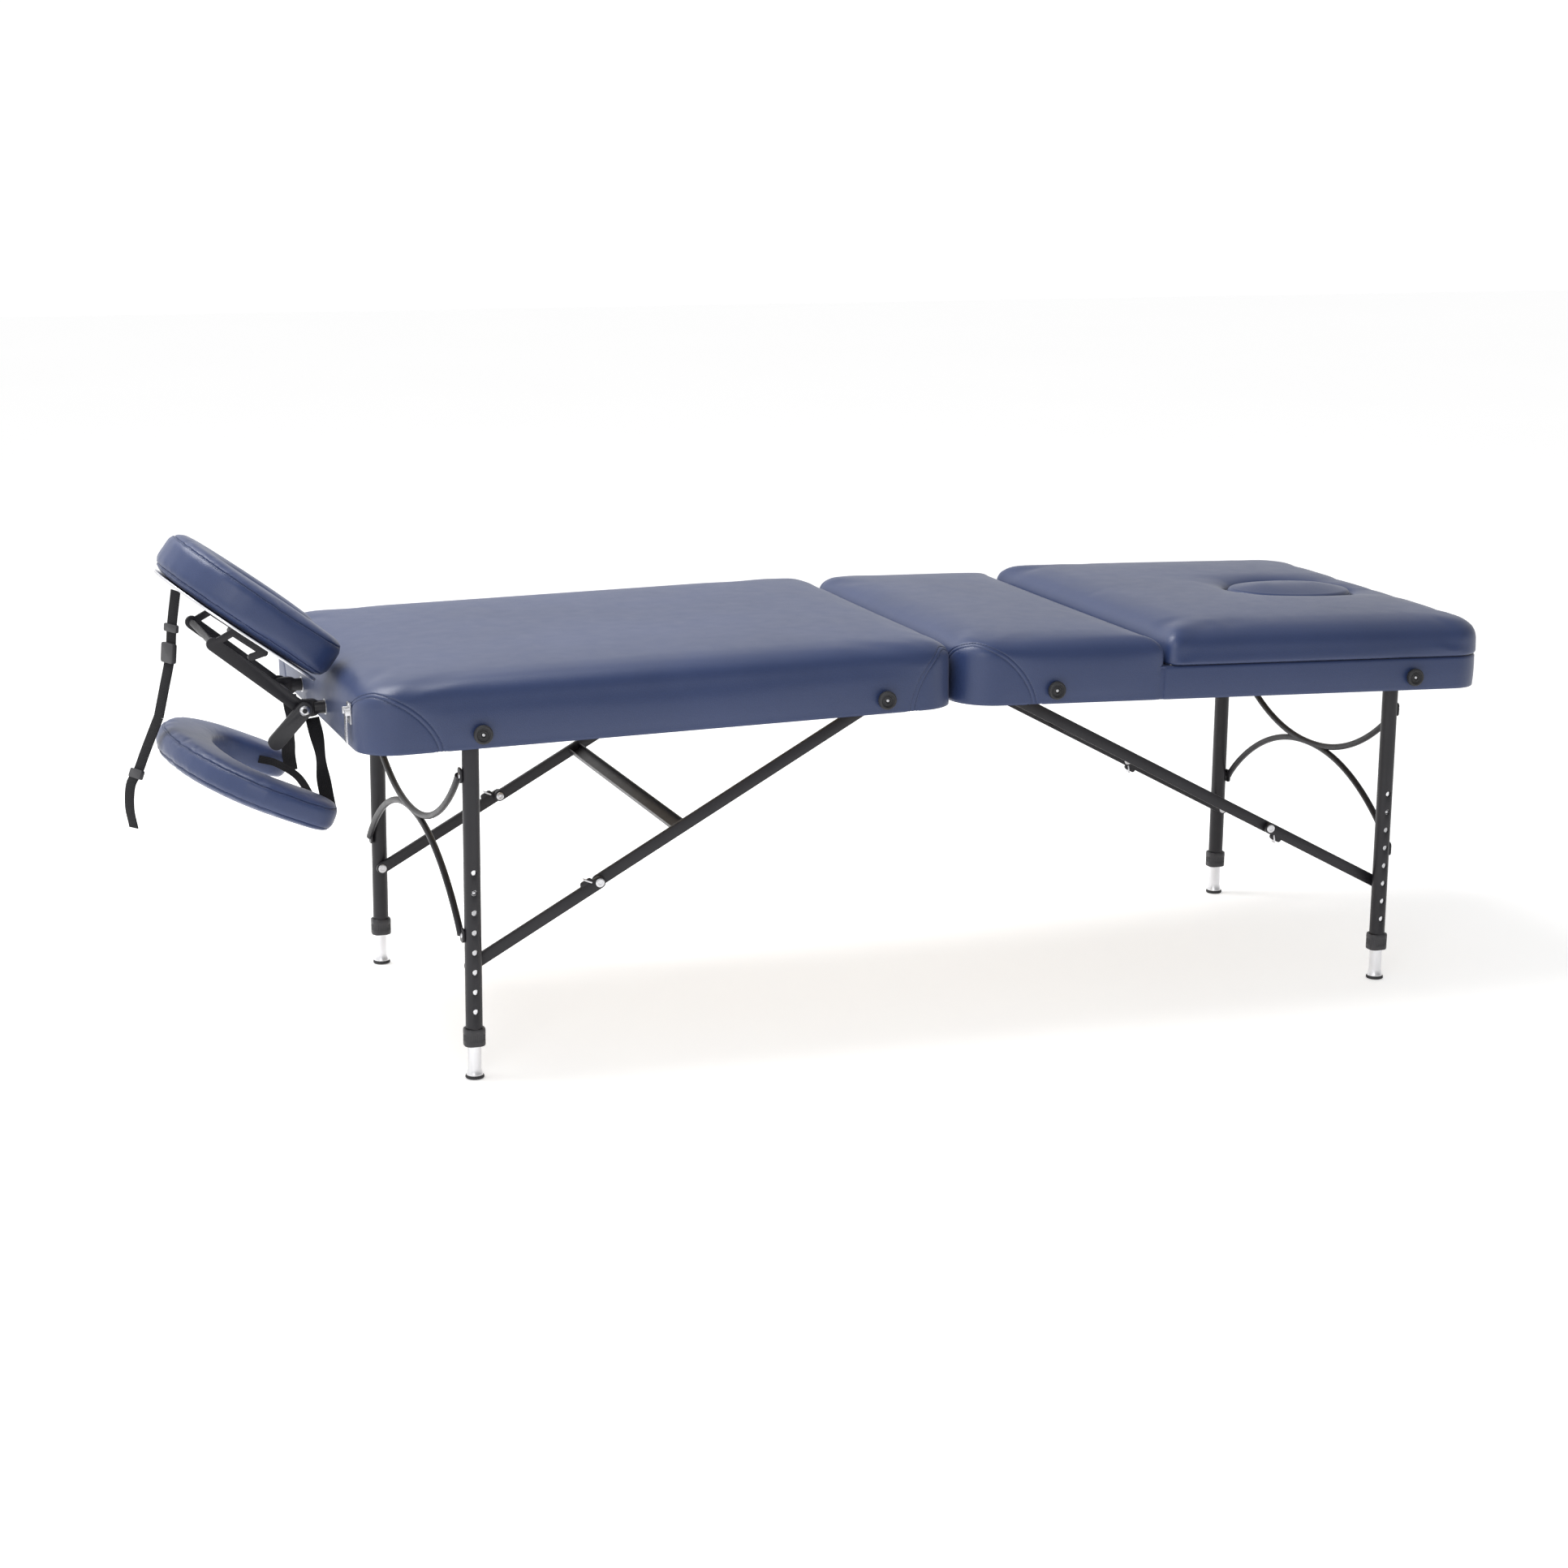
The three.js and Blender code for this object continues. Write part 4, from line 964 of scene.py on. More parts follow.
def drilled(obj, cutter):
    """Cuts holes and eases their edges; the cutter goes."""
    baked(obj, ("BOOLEAN", {"object": cutter, "solver": "EXACT"}))
    bpy.data.objects.remove(cutter)
    bevel = {"width": 0.25 * MM, "segments": 2, "limit_method": "ANGLE", "angle_limit": math.radians(50)}
    baked(obj, ("BEVEL", bevel))
    soften(obj, 30)


def leg(half, label, side):
    """A leg's tube with its row of holes, the inner tube with its foot, the snap button and the collar."""
    hinge = joint_point(f"{half}_leg_fold")
    x, y = hinge.x / MM, joint_point(f"{half}_lower_brace_{label}_fold").y / MM
    hinge_z = hinge.z / MM
    outwards = (0, side, 0)

    def upright(name, profile, crease=35, closed=False):
        turned = lathe(profile, (x, y, 0), (0, 0, 1), 48, closed)
        return add_object(f"{half}_{name}_{label}", scaled(turned), crease)

    r, wall, bottom = TUBE["outer"], TUBE["wall"], TUBE["bottom"]
    profile = [(r - wall, bottom), (r - 0.4, bottom), (r, bottom + 0.4), (r, hinge_z + 8.5)]
    profile += [(r - 2.5, hinge_z + 11), (0.2, hinge_z + 11), (0.2, hinge_z - 19), (r - wall, hinge_z - 19)]
    tube = upright("leg_tube", profile, closed=True)
    heights = [HOLES["first"] + i * HOLES["pitch"] for i in range(HOLES["count"])]
    centres = [(x * MM, y * MM, z * MM) for z in heights]
    drilled(tube, cutters(centres, outwards, HOLES["radius"] * MM, 20 * MM))
    dress(tube, f"{half}_leg_frame", "charcoal_metal", (f"{half}_leg_{label}",))

    r, wall, top = INNER["outer"], INNER["wall"], INNER["top"]
    flare = [(r + 2.6 * (1 - s) ** 2, 5.4 + 13 * s) for s in np.linspace(0, 1, 7)]
    inside = [(max(f - wall, r - wall), z) for f, z in reversed(flare)]
    profile = flare + [(r, 320), (r, top - 0.4), (r - 0.4, top), (r - wall, top)] + inside
    tube = upright("inner_tube", profile, closed=True)
    drilled(tube, cutters([(x * MM, y * MM, BUTTON_Z * MM)], outwards, 3.6 * MM, 14 * MM))
    dress(tube, f"{half}_inner_leg_{label}", "bare_aluminium", (f"{half}_inner_leg_{label}",))

    profile = [
        (0.2, 0.6), (9.0, 0.5), (12.0, 0.0), (13.2, 0.3), (14.0, 1.3), (14.0, 3.4), (13.4, 4.4),
        (13.2, 5.2), (7.8, 5.2), (7.8, 22), (0.2, 22),
    ]
    foot = upright("foot_tip", profile, 50)
    dress(foot, f"{half}_inner_leg_{label}", "black_rubber", (f"{half}_rubber_foot_{label}",))

    snap_button(half, label, side, x, y)
    collar(half, label, x, y)


def snap_button(half, label, side, x, y):
    """A round pin on a leaf spring, which stands inside the inner tube with its foot turned over."""
    tip = [(3.4, 4.0), (3.4, 8.2), (3.0, 9.2), (2.1, 9.8), (0.6, 10.0)]
    leaf = rounded_rectangle(x - 3, x + 3, 232, BUTTON_Z + 8, 1.5)
    strip, faces = plate(leaf, side * y + 3.4, side * y + 4.4, 0.2)
    stood = [(across, side * out, height) for across, height, out in strip]
    heel = plate(rounded_rectangle(x - 3, x + 3, y - 4.4, y + 4.4, 1), 231, 232.2, 0.2)
    pieces = merged([lathe(tip, (x, y, BUTTON_Z), (0, side, 0), 32), (stood, faces), heel])
    button = add_object(f"{half}_snap_button_{label}", scaled(pieces))
    dress(button, f"{half}_lock_button_{label}", "zinc_steel", (f"{half}_lock_button_{label}",))


def collar(half, label, x, y):
    """The plastic sleeve at the tube's lower end: a rounded square with fine upright ribs."""
    count = 144
    foot = [(1.6, 50), (0.5, 50.5), (0, 52), (0, 58)]
    grip = [(0.4, 59), (0.4, 68)]
    lip = [(-0.1, 69), (-0.1, 74.5), (0.5, 76.3), (1.8, 77)]
    outline = resampled_ring(rounded_rectangle(-16, 16, -14, 14, 11, 5), count)
    ribs = 1 + 0.32 * np.sign(np.sin(np.arange(count) * math.pi / 2 + 0.3)) / 15
    rings = []
    for inset, z in foot + grip + lip:
        ring = inset_outline(outline, inset)
        if (inset, z) in grip:
            ring = ring * ribs[:, None]
        rings.append([(x + px, y + py, z) for px, py in ring])
    angles = np.arctan2(outline[:, 1], outline[:, 0])
    for radius, z in ((12.7, 76.6), (12.7, 56.2), (10.4, 56), (10.4, 50.4)):
        rings.append([(x + radius * math.cos(a), y + radius * math.sin(a), z) for a in angles])
    obj = add_object(f"{half}_sleeve_{label}", scaled(loft(rings, closed=True)), 40)
    dress(obj, f"{half}_leg_frame", "black_plastic", (f"{half}_collar_{label}",))


def resampled_ring(points, count):
    """A closed outline with count points, evenly spaced."""
    ring = np.vstack([points, points[:1]])
    along = distances(ring)
    return resampled(ring, along, np.linspace(0, along[-1], count, endpoint=False))


def resampled_path(points, step):
    """An open path with points about a step apart."""
    points = np.asarray(points, float)
    along = distances(points)
    return resampled(points, along, np.linspace(0, along[-1], max(4, round(along[-1] / step)) + 1))


ARCH = {"radius": 5.2, "middle": 338.0, "below_hinge": 66, "low_end": 218.0, "out": 16.8}


def arches(half):
    """Two bowed bars across a leg frame, with flat tabs at their ends that are bolted to the legs."""
    hinge = joint_point(f"{half}_leg_fold")
    outward = SIGN[half]
    x = hinge.x / MM + outward * ARCH["out"]
    reach = joint_point(f"{half}_lower_brace_far_fold").y / MM - 6
    tab = plate(rounded_rectangle(-9, 9, -11, 11, 5), -1.6, 1.6, 0.6)
    shapes, bolts = [], []
    for end_z in (hinge.z / MM - ARCH["below_hinge"], ARCH["low_end"]):
        ys = reach * np.sin(np.linspace(-1, 1, 97) * math.pi / 2)
        zs = end_z + (ARCH["middle"] - end_z) * (1 - np.abs(ys / reach) ** 2.1) ** 0.9
        path = resampled_path(np.column_stack([np.full(97, x), ys, zs]), 3.5)
        shapes.append(sweep(path, ellipse(ARCH["radius"], ARCH["radius"], 20), (1, 0, 0.001)))
        for side in (-1, 1):
            place = (x - outward * 2.1, side * (reach + 1), end_z)
            shapes.append(moved(tab, Matrix.Translation(place) @ FACING_X))
            bolt = (x - outward * 0.6, side * (reach + 3.5), end_z)
            bolts.append(screw(bolt, (outward, 0, 0), 4.2, 1.6))
    obj = add_object(f"{half}_arches", scaled(merged(shapes)), 40)
    dress(obj, f"{half}_leg_frame", "charcoal_metal", (f"{half}_arched_stretcher",))
    heads = add_object(f"{half}_arch_bolts", scaled(merged(bolts)))
    dress(heads, f"{half}_leg_frame", "zinc_steel")


# ---------------------------------------------------------------- knee braces
LINK = {"half": 9.0, "thick": 8.0, "gap": 1.0}
KNEE_SHARE = 0.28  # where the crossbar sits along the upper link, from the knee


def knee_brace(half):
    """Where a brace's root, pin, knee and crossbar are, in metres, in the table's middle plane."""
    root = joint_point(f"{half}_upper_brace_fold")
    pin = joint_point(f"{half}_lower_brace_near_fold")
    hinge = joint_point(f"{half}_leg_fold")
    opened = math.hypot(root.x - pin.x, root.z - pin.z)
    folded = math.hypot(root.x - hinge.x, root.z - hinge.z) - (hinge.z - pin.z)
    lower = (opened - folded) / 2
    root, pin = Vector((root.x, 0, root.z)), Vector((pin.x, 0, pin.z))
    knee = pin.lerp(root, lower / opened)
    return root, pin, knee, knee.lerp(root, KNEE_SHARE)


def stub(place, side, start, end, radius):
    """A short round pin across a brace, from start to end in millimetres from the middle plane."""
    profile = [(radius * MM, 0), (radius * MM, (end - start) * MM)]
    return lathe(profile, (place.x, side * start * MM, place.z), (0, side, 0), 24)


def screw_head(place, side, out, facing, radius, height):
    """A screw head on a brace, out in millimetres from the middle plane, facing out (1) or in (-1)."""
    return screw((place.x, side * out * MM, place.z), (0, side * facing, 0), radius * MM, height * MM)


def braces(half):
    """On each side an upper and a lower link that meet at the knee, and a channel across the upper links."""
    root, pin, knee, cross = knee_brace(half)
    face = joint_point(f"{half}_lower_brace_far_fold").y / MM - TUBE["outer"] - LINK["gap"]
    outer_layer = (face - LINK["thick"], face)
    inner_layer = tuple(v - LINK["thick"] - LINK["gap"] for v in outer_layer)
    slope = (root - pin).normalized()
    across = Vector((-slope.z, 0, slope.x))
    upper, bright = [], []
    for label, side in SIDES:
        low, high = sorted(side * v * MM for v in inner_layer)
        upper.append(bar(root, knee, LINK["half"] * MM, low, high))
        upper.append(stub(knee, side, inner_layer[1] - 1, inner_layer[1] + 0.7, 5))
        upper.append(stub(root, side, inner_layer[1] - 1, inner_layer[1] + 0.8, 5))
        bright.append(screw_head(knee, side, inner_layer[0] + 0.1, -1, 6.6, 3.2))
        bright.append(screw_head(root, side, inner_layer[0] + 0.1, -1, 5.6, 2.6))
        low, high = sorted(side * v * MM for v in outer_layer)
        lower_link(half, label, side, (pin, knee), (slope, across), (low, high), outer_layer)
    channel = [(-10.5, 5), (-10.5, -5), (-8.9, -5), (-8.9, 3.4), (8.9, 3.4), (8.9, -5), (10.5, -5), (10.5, 5)]
    rings = []
    for y in (-inner_layer[0] - 1, inner_layer[0] + 1):
        middle = np.array(cross) + np.array((0, y, 0)) * MM
        rings.append([middle - a * MM * np.array(slope) - b * MM * np.array(across) for a, b in channel])
    upper.append(loft(rings))
    obj = add_object(f"{half}_upper_links", merged(upper))
    dress(obj, f"{half}_upper_brace", "charcoal_metal", (f"{half}_upper_brace",))
    bolts = add_object(f"{half}_upper_link_bolts", merged(bright))
    dress(bolts, f"{half}_upper_brace", "zinc_steel")


def lower_link(half, label, side, pivots, directions, faces, layer):
    """The link from the leg to the knee, with the knee's catch and its fin, and the heads of its pivots."""
    pin, knee = pivots
    slope, across = directions
    low, high = faces
    catch = knee - slope * 17 * MM + across * 10 * MM
    pieces = [
        bar(pin, knee, LINK["half"] * MM, low, high),
        bar(catch - slope * 6 * MM, catch + slope * 5 * MM, 4.6 * MM, low + 0.6 * MM, high - 0.6 * MM, 0.8),
    ]
    obj = add_object(f"{half}_lower_link_{label}", merged(pieces))
    dress(obj, f"{half}_lower_brace_{label}", "charcoal_metal", (f"{half}_lower_brace_{label}",))
    fin = knee - slope * 11 * MM + across * 8 * MM
    end = fin - slope * 7 * MM + across * 9 * MM
    heads = [
        bar(fin, end, 1.3 * MM, low - 0.4 * MM, high + 0.4 * MM, 0.4),
        screw_head(knee, side, layer[1] - 0.1, 1, 6.8, 0.8),
        screw_head(pin, side, layer[0] + 0.1, -1, 6.8, 0.8),
        stub(pin, side, layer[1] - 0.8, layer[1] + 0.8, 4),
    ]
    bolt = add_object(f"{half}_lower_link_bolts_{label}", merged(heads))
    dress(bolt, f"{half}_lower_brace_{label}", "zinc_steel")


# ---------------------------------------------------------------- bumpers, latch, hinges
BUMPERS = {"head": (("outer", 744.0), ("inner", 124.5)), "foot": (("inner", 152.5), ("outer", 780.0))}


def bumpers(half):
    """Round rubber feet on the near side, each with a ribbed rim, a dished face and a screw."""
    rim = [(12, 0), (12, 2.7), (13.0, 3.0), (14.0, 4.2), (14.0, 8.6), (13.2, 10.2), (11.6, 11.0)]
    dish = [(10.2, 10.6), (9.4, 9.0), (8.6, 8.2), (6.9, 8.2), (6.2, 9.0), (5.0, 9.4), (4.2, 8.8)]
    socket = [(3.9, 7.4), (0.2, 7.4)]
    count, height = 96, 22
    ribs = 1 - 0.035 * (np.arange(count) % 4 < 1)
    for label, u in BUMPERS[half]:
        points, faces = lathe(rim + dish + socket, (u, -PAD_SIDE, height), (0, -1, 0), count)
        rings = points.reshape(-1, count, 3)
        axis = np.array([u, 0, height])
        for k in (3, 4):
            radial = (rings[k] - axis) * (1, 0, 1)
            rings[k] = rings[k] * (0, 1, 0) + axis + radial * ribs[:, None]
        obj = add_object(f"{half}_bumper_knob_{label}", deck_piece(half, (rings.reshape(-1, 3), faces)), 40)
        dress(obj, f"{half}_half", "black_rubber", (f"{half}_bumper_{label}",))
        head = screw((u, -PAD_SIDE - 7.2, height), (0, -1, 0), 2.6, 1.5)
        head = add_object(f"{half}_bumper_screw_{label}", deck_piece(half, head))
        dress(head, f"{half}_half", "zinc_steel")


def tape(name, path, width, thickness, across, body, replaced=(), twist=None):
    """Woven tape along a path, in metres, its width along across, with a UV map; twist(t) gives degrees."""
    path = resampled_path(path, 4 * MM)
    across = np.asarray(across, float)
    tangents = [unit(tangent) for tangent in np.gradient(path, axis=0)]
    sides = [unit(across - tangent * (across @ tangent)) for tangent in tangents]
    section = rounded_rectangle(-width / 2, width / 2, -thickness / 2, thickness / 2, 0.45 * thickness, 3)
    rings = []
    for k, (point, tangent, side) in enumerate(zip(path, tangents, sides)):
        normal = np.cross(tangent, side)
        turn = math.radians(twist(k / (len(path) - 1))) if twist else 0.0
        wide = math.cos(turn) * side + math.sin(turn) * normal
        high = math.cos(turn) * normal - math.sin(turn) * side
        rings.append([point + a * wide + b * high for a, b in section])
    obj = add_object(name, loft(rings), 50)
    along = distances(path)
    tree = nearest_among(path)
    layer = obj.data.uv_layers.new(name="weave")
    for loop in obj.data.loops:
        place = obj.data.vertices[loop.vertex_index].co
        k = tree.find(place)[1]
        layer.data[loop.index].uv = (float((np.array(place) - path[k]) @ sides[k]), float(along[k]))
    return dress(obj, body, "black_webbing", replaced)


def carry_handle(half):
    """A webbing handle on the far side: two sewn ends and a padded grip standing off between them."""
    middle, w = 460, 26.0
    rise = [(76, 1.4), (54, 1.4), (48, 6), (38, 9), (0, 9.8)]
    loop = [(middle - u, PAD_SIDE + out, w) for u, out in rise]
    loop += [(middle + u, PAD_SIDE + out, w) for u, out in rise[-2::-1]]
    nodes = (f"{half}_carry_handle",)
    tape(f"{half}_handle", in_deck(half, loop), 24 * MM, 2.2 * MM, (0, 0, 1), f"{half}_half", nodes)
    outline = rounded_rectangle(middle - 28, middle + 28, w - 12.5, w + 12.5, 6)
    points, faces = plate(outline, PAD_SIDE + 7.4, PAD_SIDE + 11.6, 1.6)
    upright = np.column_stack([points[:, 0], points[:, 2], points[:, 1]])
    grip = add_object(f"{half}_handle_grip", deck_piece(half, (upright, faces)), 50)
    dress(grip, f"{half}_half", "black_rubber")


def hinge_screws(half):
    heads = [screw((17, y, 0.5), (0, 0, -1), 3.2, 0.6) for y in np.linspace(-250, 250, 11)]
    obj = add_object(f"{half}_hinge_screws", deck_piece(half, merged(heads)))
    dress(obj, f"{half}_half", "zinc_steel")


def latch_screws():
    for half, heights in (("head", (40, 62)), ("foot", (12, 30))):
        heads = [screw((919.1, -262, w), (1, 0, 0), 2.8, 1.4) for w in heights]
        obj = add_object(f"{half}_latch_screws", deck_piece(half, merged(heads)))
        dress(obj, f"{half}_half", "zinc_steel")


# ---------------------------------------------------------------- face cradle and armrest
def horseshoe(length, width, ring, inset):
    """Points round a horseshoe's outer edge from one open end to the other, its round end at negative x."""
    outer = width / 2
    depth = min(outer, length - ring)
    centre, tip = -(length - depth), ring / 2
    turns = np.linspace(0, math.pi, 90)
    front = [(centre - (depth - inset) * math.sin(t), (outer - inset) * math.cos(t)) for t in turns]
    straight = [(x, outer - inset) for x in np.linspace(-tip, centre, 8)[:-1]]
    arm = arc(-tip, outer - tip, tip - inset, tip - inset, 15, 90, 12)[:-1] + straight
    return arm + front + [(x, -y) for x, y in reversed(arm)]


RINGS = {
    "cradle_cushion": {"place": (-936, 563), "tilt": 36, "size": (285, 300, 95), "thick": 68},
    "armrest_pad": {"place": (-945.5, 352), "tilt": 23, "size": (247, 460, 92), "thick": 50},
}


def ring_matrix(node):
    """Takes a cushion's own millimetres, x towards its open end and z its thickness, to the row frame."""
    x, z = RINGS[node]["place"]
    turn = Matrix.Rotation(math.radians(RINGS[node]["tilt"]), 4, "Y")
    return Matrix.Translation(table_point(x, 0, z)) @ turn @ Matrix.Scale(MM, 4)


def ring_seams(node):
    """The seams along a horseshoe cushion's upper and lower outer edges."""
    facts, m = RINGS[node], ring_matrix(node)
    outline = horseshoe(*facts["size"], 3)
    heights = (facts["thick"] - 6, 6)
    return [[m @ Vector((x, y, z)) for x, y in outline] for z in heights]


def soft_ring(node, body):
    """A horseshoe cushion: the CAD solid remeshed, drawn in a little, and blown up."""
    shrink, cap = 3.0, 6
    obj = cad_copy(f"{node}_cover", node, 180)
    baked(obj, ("REMESH", {"mode": "VOXEL", "voxel_size": 4.5 * MM, "use_smooth_shade": True}))
    baked(obj, ("CORRECTIVE_SMOOTH", {"iterations": 3, "use_only_smooth": True, "smooth_type": "SIMPLE"}))
    normals = [v.normal.copy() for v in obj.data.vertices]
    for vertex, normal in zip(obj.data.vertices, normals):
        vertex.co -= normal * shrink * MM
    inflate(obj, np.zeros(len(obj.data.vertices)), cap * MM, 16, 1.0)
    baked(obj, ("SUBSURF", {"levels": 1, "render_levels": 1}))
    stitched_seams(f"{node}_stitching", obj, ring_seams(node), body, (3.0 * MM,), band=0, depth=2.4 * MM)
    obj.data.shade_smooth()
    dress(obj, body, "navy_leather", (node,))


def cradle():
    soft_ring("cradle_cushion", "cradle")
    soft_ring("armrest_pad", "armrest")
    for node, body, slot in (
        ("cradle_base", "cradle_base", "charcoal_metal"),
        ("cradle_frame", "cradle", "charcoal_metal"),
        ("cradle_plate", "cradle", "bare_aluminium"),
        ("cam_lever", "cam_lever", "black_plastic"),
        ("cradle_sockets", "head_half", "bare_aluminium"),
    ):
        eased_copy(node, body, slot)
    pivot = joint_point("cradle_tilt") / MM
    near = screw((pivot.x, -107.2, pivot.z), (0, -1, 0), 8, 3.6)
    far = screw((pivot.x, 98.2, pivot.z), (0, 1, 0), 7, 3.4)
    obj = add_object("cradle_pivot_bolts", scaled(merged([near, far])))
    dress(obj, "cradle_base", "zinc_steel")


def wind(t):
    """How far a rear strap turns edge-on on its way, in degrees."""
    return 60 * math.sin(math.pi * min(1, 1.2 * t)) ** 2


def hanging(route):
    """A path in metres through points (x, z) of the table's middle plane."""
    return curve_through([table_point(x, 0, z) for x, z in route])


def straps():
    """Webbing: a strap at the cradle's front with buckle and tail, two behind, a loop between the tips."""
    turned = (-0.4, 0.92, 0)
    hung = hanging([(-1129.5, 692.5), (-1137, 640), (-1141, 596), (-1152, 545), (-1161, 505)])
    tape("front_webbing", hung, 25 * MM, 1.8 * MM, turned, "front_strap", ("front_strap",))
    tail = hanging([(-1161, 505), (-1182, 455), (-1194, 425), (-1206, 404), (-1209, 370), (-1204, 338)])
    tape("front_webbing_tail", tail, 25 * MM, 1.8 * MM, turned, "armrest", ("front_strap_tail",))
    rest = ring_matrix("armrest_pad")
    for label, side in SIDES:
        top = Vector(table_point(-949, side * 88, 507.4))
        tip, end = (rest @ Vector(p) for p in ((-16, side * 146, 47), (-2, side * 150, 24)))
        sagging = top.lerp(tip, 0.35) + Vector((3, 0, -4)) * MM
        path = curve_through([top, sagging, top.lerp(tip, 0.7), tip, end])
        nodes = (f"rear_strap_{label}",)
        obj = tape(f"rear_webbing_{label}", path, 21 * MM, 1.6 * MM, (1, 0, 0), None, nodes, wind)
        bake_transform(obj)
    half_loop = [(-60, 136, 26), (-34, 126, 30), (-4, 96, 26), (10, 50, 14), (12, 0, 6)]
    loop = [(x, -y, z) for x, y, z in half_loop] + half_loop[-2::-1]
    path = curve_through([rest @ Vector(p) for p in loop])
    tape("armrest_loop", path, 12 * MM, 1.6 * MM, (0.9, 0, 0.4), "armrest")
    bar_and_slider = [
        (plate(rounded_rectangle(-17, 17, -6, 6, 3), -2.6, 2.6), (-1138, 637)),
        (plate(rounded_rectangle(-16, 16, -15, 15, 4), -4.0, 4.0, 1.2), (-1143, 600)),
    ]
    add_clips("front_buckle", bar_and_slider, "front_strap", 5)
    keeper = plate(rounded_rectangle(-16, 16, -7, 7, 3), -3.2, 3.2)
    add_clips("tail_keeper", [(keeper, (-1197, 420))], "armrest", 22)


def add_clips(name, clips, body, lean):
    """Plastic fittings at (x, z) on the front strap, which leans by some degrees from upright."""
    turn = Matrix.Rotation(math.radians(23), 4, "Z") @ Matrix.Rotation(math.radians(lean), 4, "Y")
    shapes = []
    for shape, (x, z) in clips:
        place = Matrix.Translation(table_point(x, 0, z)) @ turn
        shapes.append(moved(shape, place @ FACING_X @ Matrix.Scale(MM, 4)))
    dress(add_object(name, merged(shapes)), body, "black_plastic")


def curve_through(points):
    """A Catmull-Rom curve through points."""
    p = np.array([tuple(point) for point in points])
    p = np.vstack([2 * p[0] - p[1], p, 2 * p[-1] - p[-2]])
    path = []
    for a, b, c, d in zip(p, p[1:], p[2:], p[3:]):
        for t in np.linspace(0, 1, 12, endpoint=False):
            place = 2 * b + (c - a) * t
            place = place + (2 * a - 5 * b + 4 * c - d) * t**2
            path.append(0.5 * (place + (3 * b - a - 3 * c + d) * t**3))
    return np.array(path + [p[-2]])


def fittings():
    """Pieces whose CAD shape is right: they get rounded edges and their finish."""
    for node, body, slot, width in (
        ("head_frame", "head_half", "birch_plywood", 0.8),
        ("head_board", "head_half", "birch_plywood", 0.5),
        ("foot_frame", "foot_half", "birch_plywood", 0.8),
        ("backrest_board", "backrest", "birch_plywood", 0.5),
        ("head_hinge_leaf", "head_half", "zinc_steel", 0.15),
        ("foot_hinge_leaf", "foot_half", "zinc_steel", 0.15),
        ("latch_plate", "head_half", "zinc_steel", 0.4),
        ("latch_keeper", "foot_half", "zinc_steel", 0.4),
        ("latch_hasp", "latch_hasp", "zinc_steel", 0.3),
        ("backrest_prop", "backrest_prop", "charcoal_metal", 0.6),
    ):
        eased_copy(node, body, slot, width)
    latch_screws()


# ---------------------------------------------------------------- stage
def camera():
    """A long lens on the near side, left of the fold line and above the deck, turned right and down."""
    data = bpy.data.cameras.new("camera")
    obj = new_object("camera", data)
    data.lens, data.sensor_width, data.sensor_fit = 69.71, 36.0, "HORIZONTAL"
    data.clip_end = 50
    place = FOLD + Vector((-1.7920, -4.4603, 0.9311))
    yaw, pitch, roll = 0.35052, 0.23051, 0.00978
    look = Vector((math.sin(yaw) * math.cos(pitch), math.cos(yaw) * math.cos(pitch), -math.sin(pitch)))
    level = look.cross(Vector((0, 0, 1))).normalized()
    upright = level.cross(look)
    right = level * math.cos(roll) + upright * math.sin(roll)
    up = upright * math.cos(roll) - level * math.sin(roll)
    rotation = Matrix((right, up, -look)).transposed().to_4x4()
    obj.matrix_world = Matrix.Translation(place) @ rotation
    bpy.context.scene.camera = obj


def area_light(name, place, target, size, power):
    data = bpy.data.lights.new(name, "AREA")
    data.shape, data.size, data.energy = "DISK", size, power
    obj = new_object(name, data)
    obj.location = place
    obj.rotation_euler = (Vector(target) - Vector(place)).to_track_quat("-Z", "Y").to_euler()


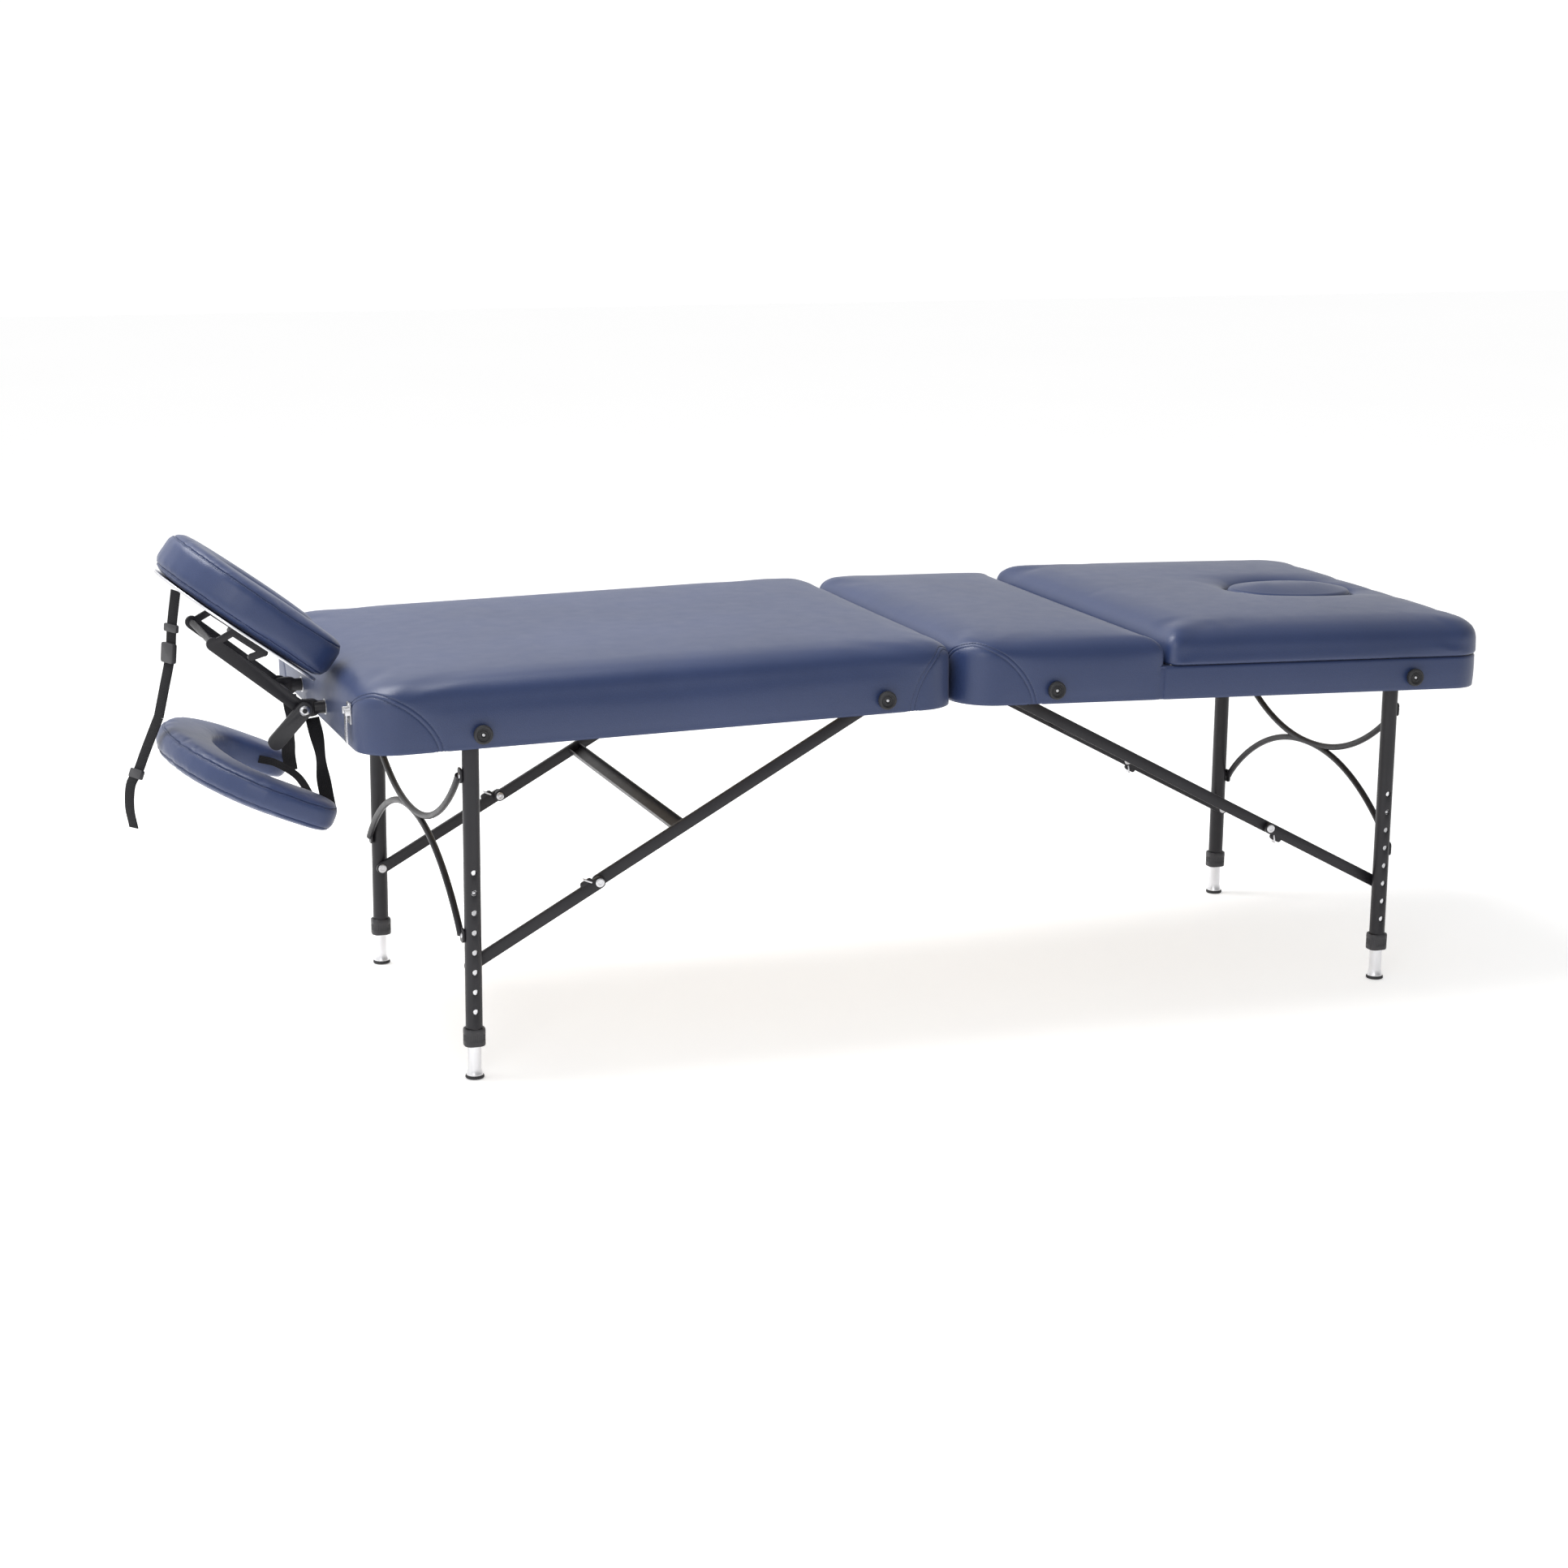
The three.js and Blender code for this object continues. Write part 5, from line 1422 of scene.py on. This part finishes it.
def gradient(tree, direction, axis, reach, levels, target):
    """Sends target a level that changes with the direction's length along an axis."""
    facing = tree.nodes.new("ShaderNodeVectorMath")
    facing.operation = "DOT_PRODUCT"
    facing.inputs[1].default_value = axis
    fade = tree.nodes.new("ShaderNodeMapRange")
    fade.inputs["From Min"].default_value, fade.inputs["From Max"].default_value = reach
    fade.inputs["To Min"].default_value, fade.inputs["To Max"].default_value = levels
    tree.links.new(direction.outputs["Generated"], facing.inputs[0])
    tree.links.new(facing.outputs["Value"], fade.inputs["Value"])
    tree.links.new(fade.outputs["Result"], target)


def studio():
    """A pale floor, a white surround and soft lights above and in front."""
    reach = 14.0
    corners = [(-reach, -reach, 0), (reach, -reach, 0), (reach, reach, 0), (-reach, reach, 0)]
    mesh = bpy.data.meshes.new("floor")
    mesh.from_pydata(corners, [], [(0, 1, 2, 3)])
    floor = new_object("floor", mesh)
    floor.location.z = -0.5 * MM
    f = Finish("pale_floor")
    tone = f.colours(f.noise(0.8), (0.0, (0.90, 0.90, 0.90)), (1.0, (0.93, 0.93, 0.93)))
    glow = {"Emission_Color": (1, 1, 1, 1), "Emission_Strength": 0.42}
    floor.data.materials.append(f.set(Base_Color=tone, Roughness=0.9, **glow))
    surround()
    area_light("overhead", (-1.3, 0.6, 3.2), (-0.3, 0, 0.6), 2.2, 100)
    area_light("front", (-2.6, -4.2, 2.6), (-0.2, 0, 0.4), 2.2, 45)
    bpy.context.scene.view_settings.view_transform = "Standard"


def surround():
    """A white world, darker towards the near side and overhead."""
    world = bpy.data.worlds.new("surround")
    bpy.context.scene.world = world
    world.use_nodes = True
    tree = world.node_tree
    tree.nodes["Background"].inputs["Color"].default_value = (1, 1, 1, 1)
    strength = tree.nodes["Background"].inputs["Strength"]
    direction = tree.nodes.new("ShaderNodeTexCoord")
    gradient(tree, direction, (-0.45, 0.85, 0.30), (-1.0, 0.15), (0.35, 1.05), strength)
    upper = tree.nodes.new("ShaderNodeMath")
    upper.operation = "MULTIPLY"
    tree.links.new(strength.links[0].from_socket, upper.inputs[0])
    gradient(tree, direction, (-0.5, 0.0, -1.2), (-0.80, -0.41), (0.5, 1.0), upper.inputs[1])
    tree.links.new(upper.outputs["Value"], strength)


# ---------------------------------------------------------------- build
camera()
studio()
deck_pads()
base_band()
hinge_flap()
plug()
fittings()
for half in SIGN:
    for label, side in SIDES:
        leg(half, label, side)
    arches(half)
    braces(half)
    bumpers(half)
    carry_handle(half)
    hinge_screws(half)
cradle()
straps()
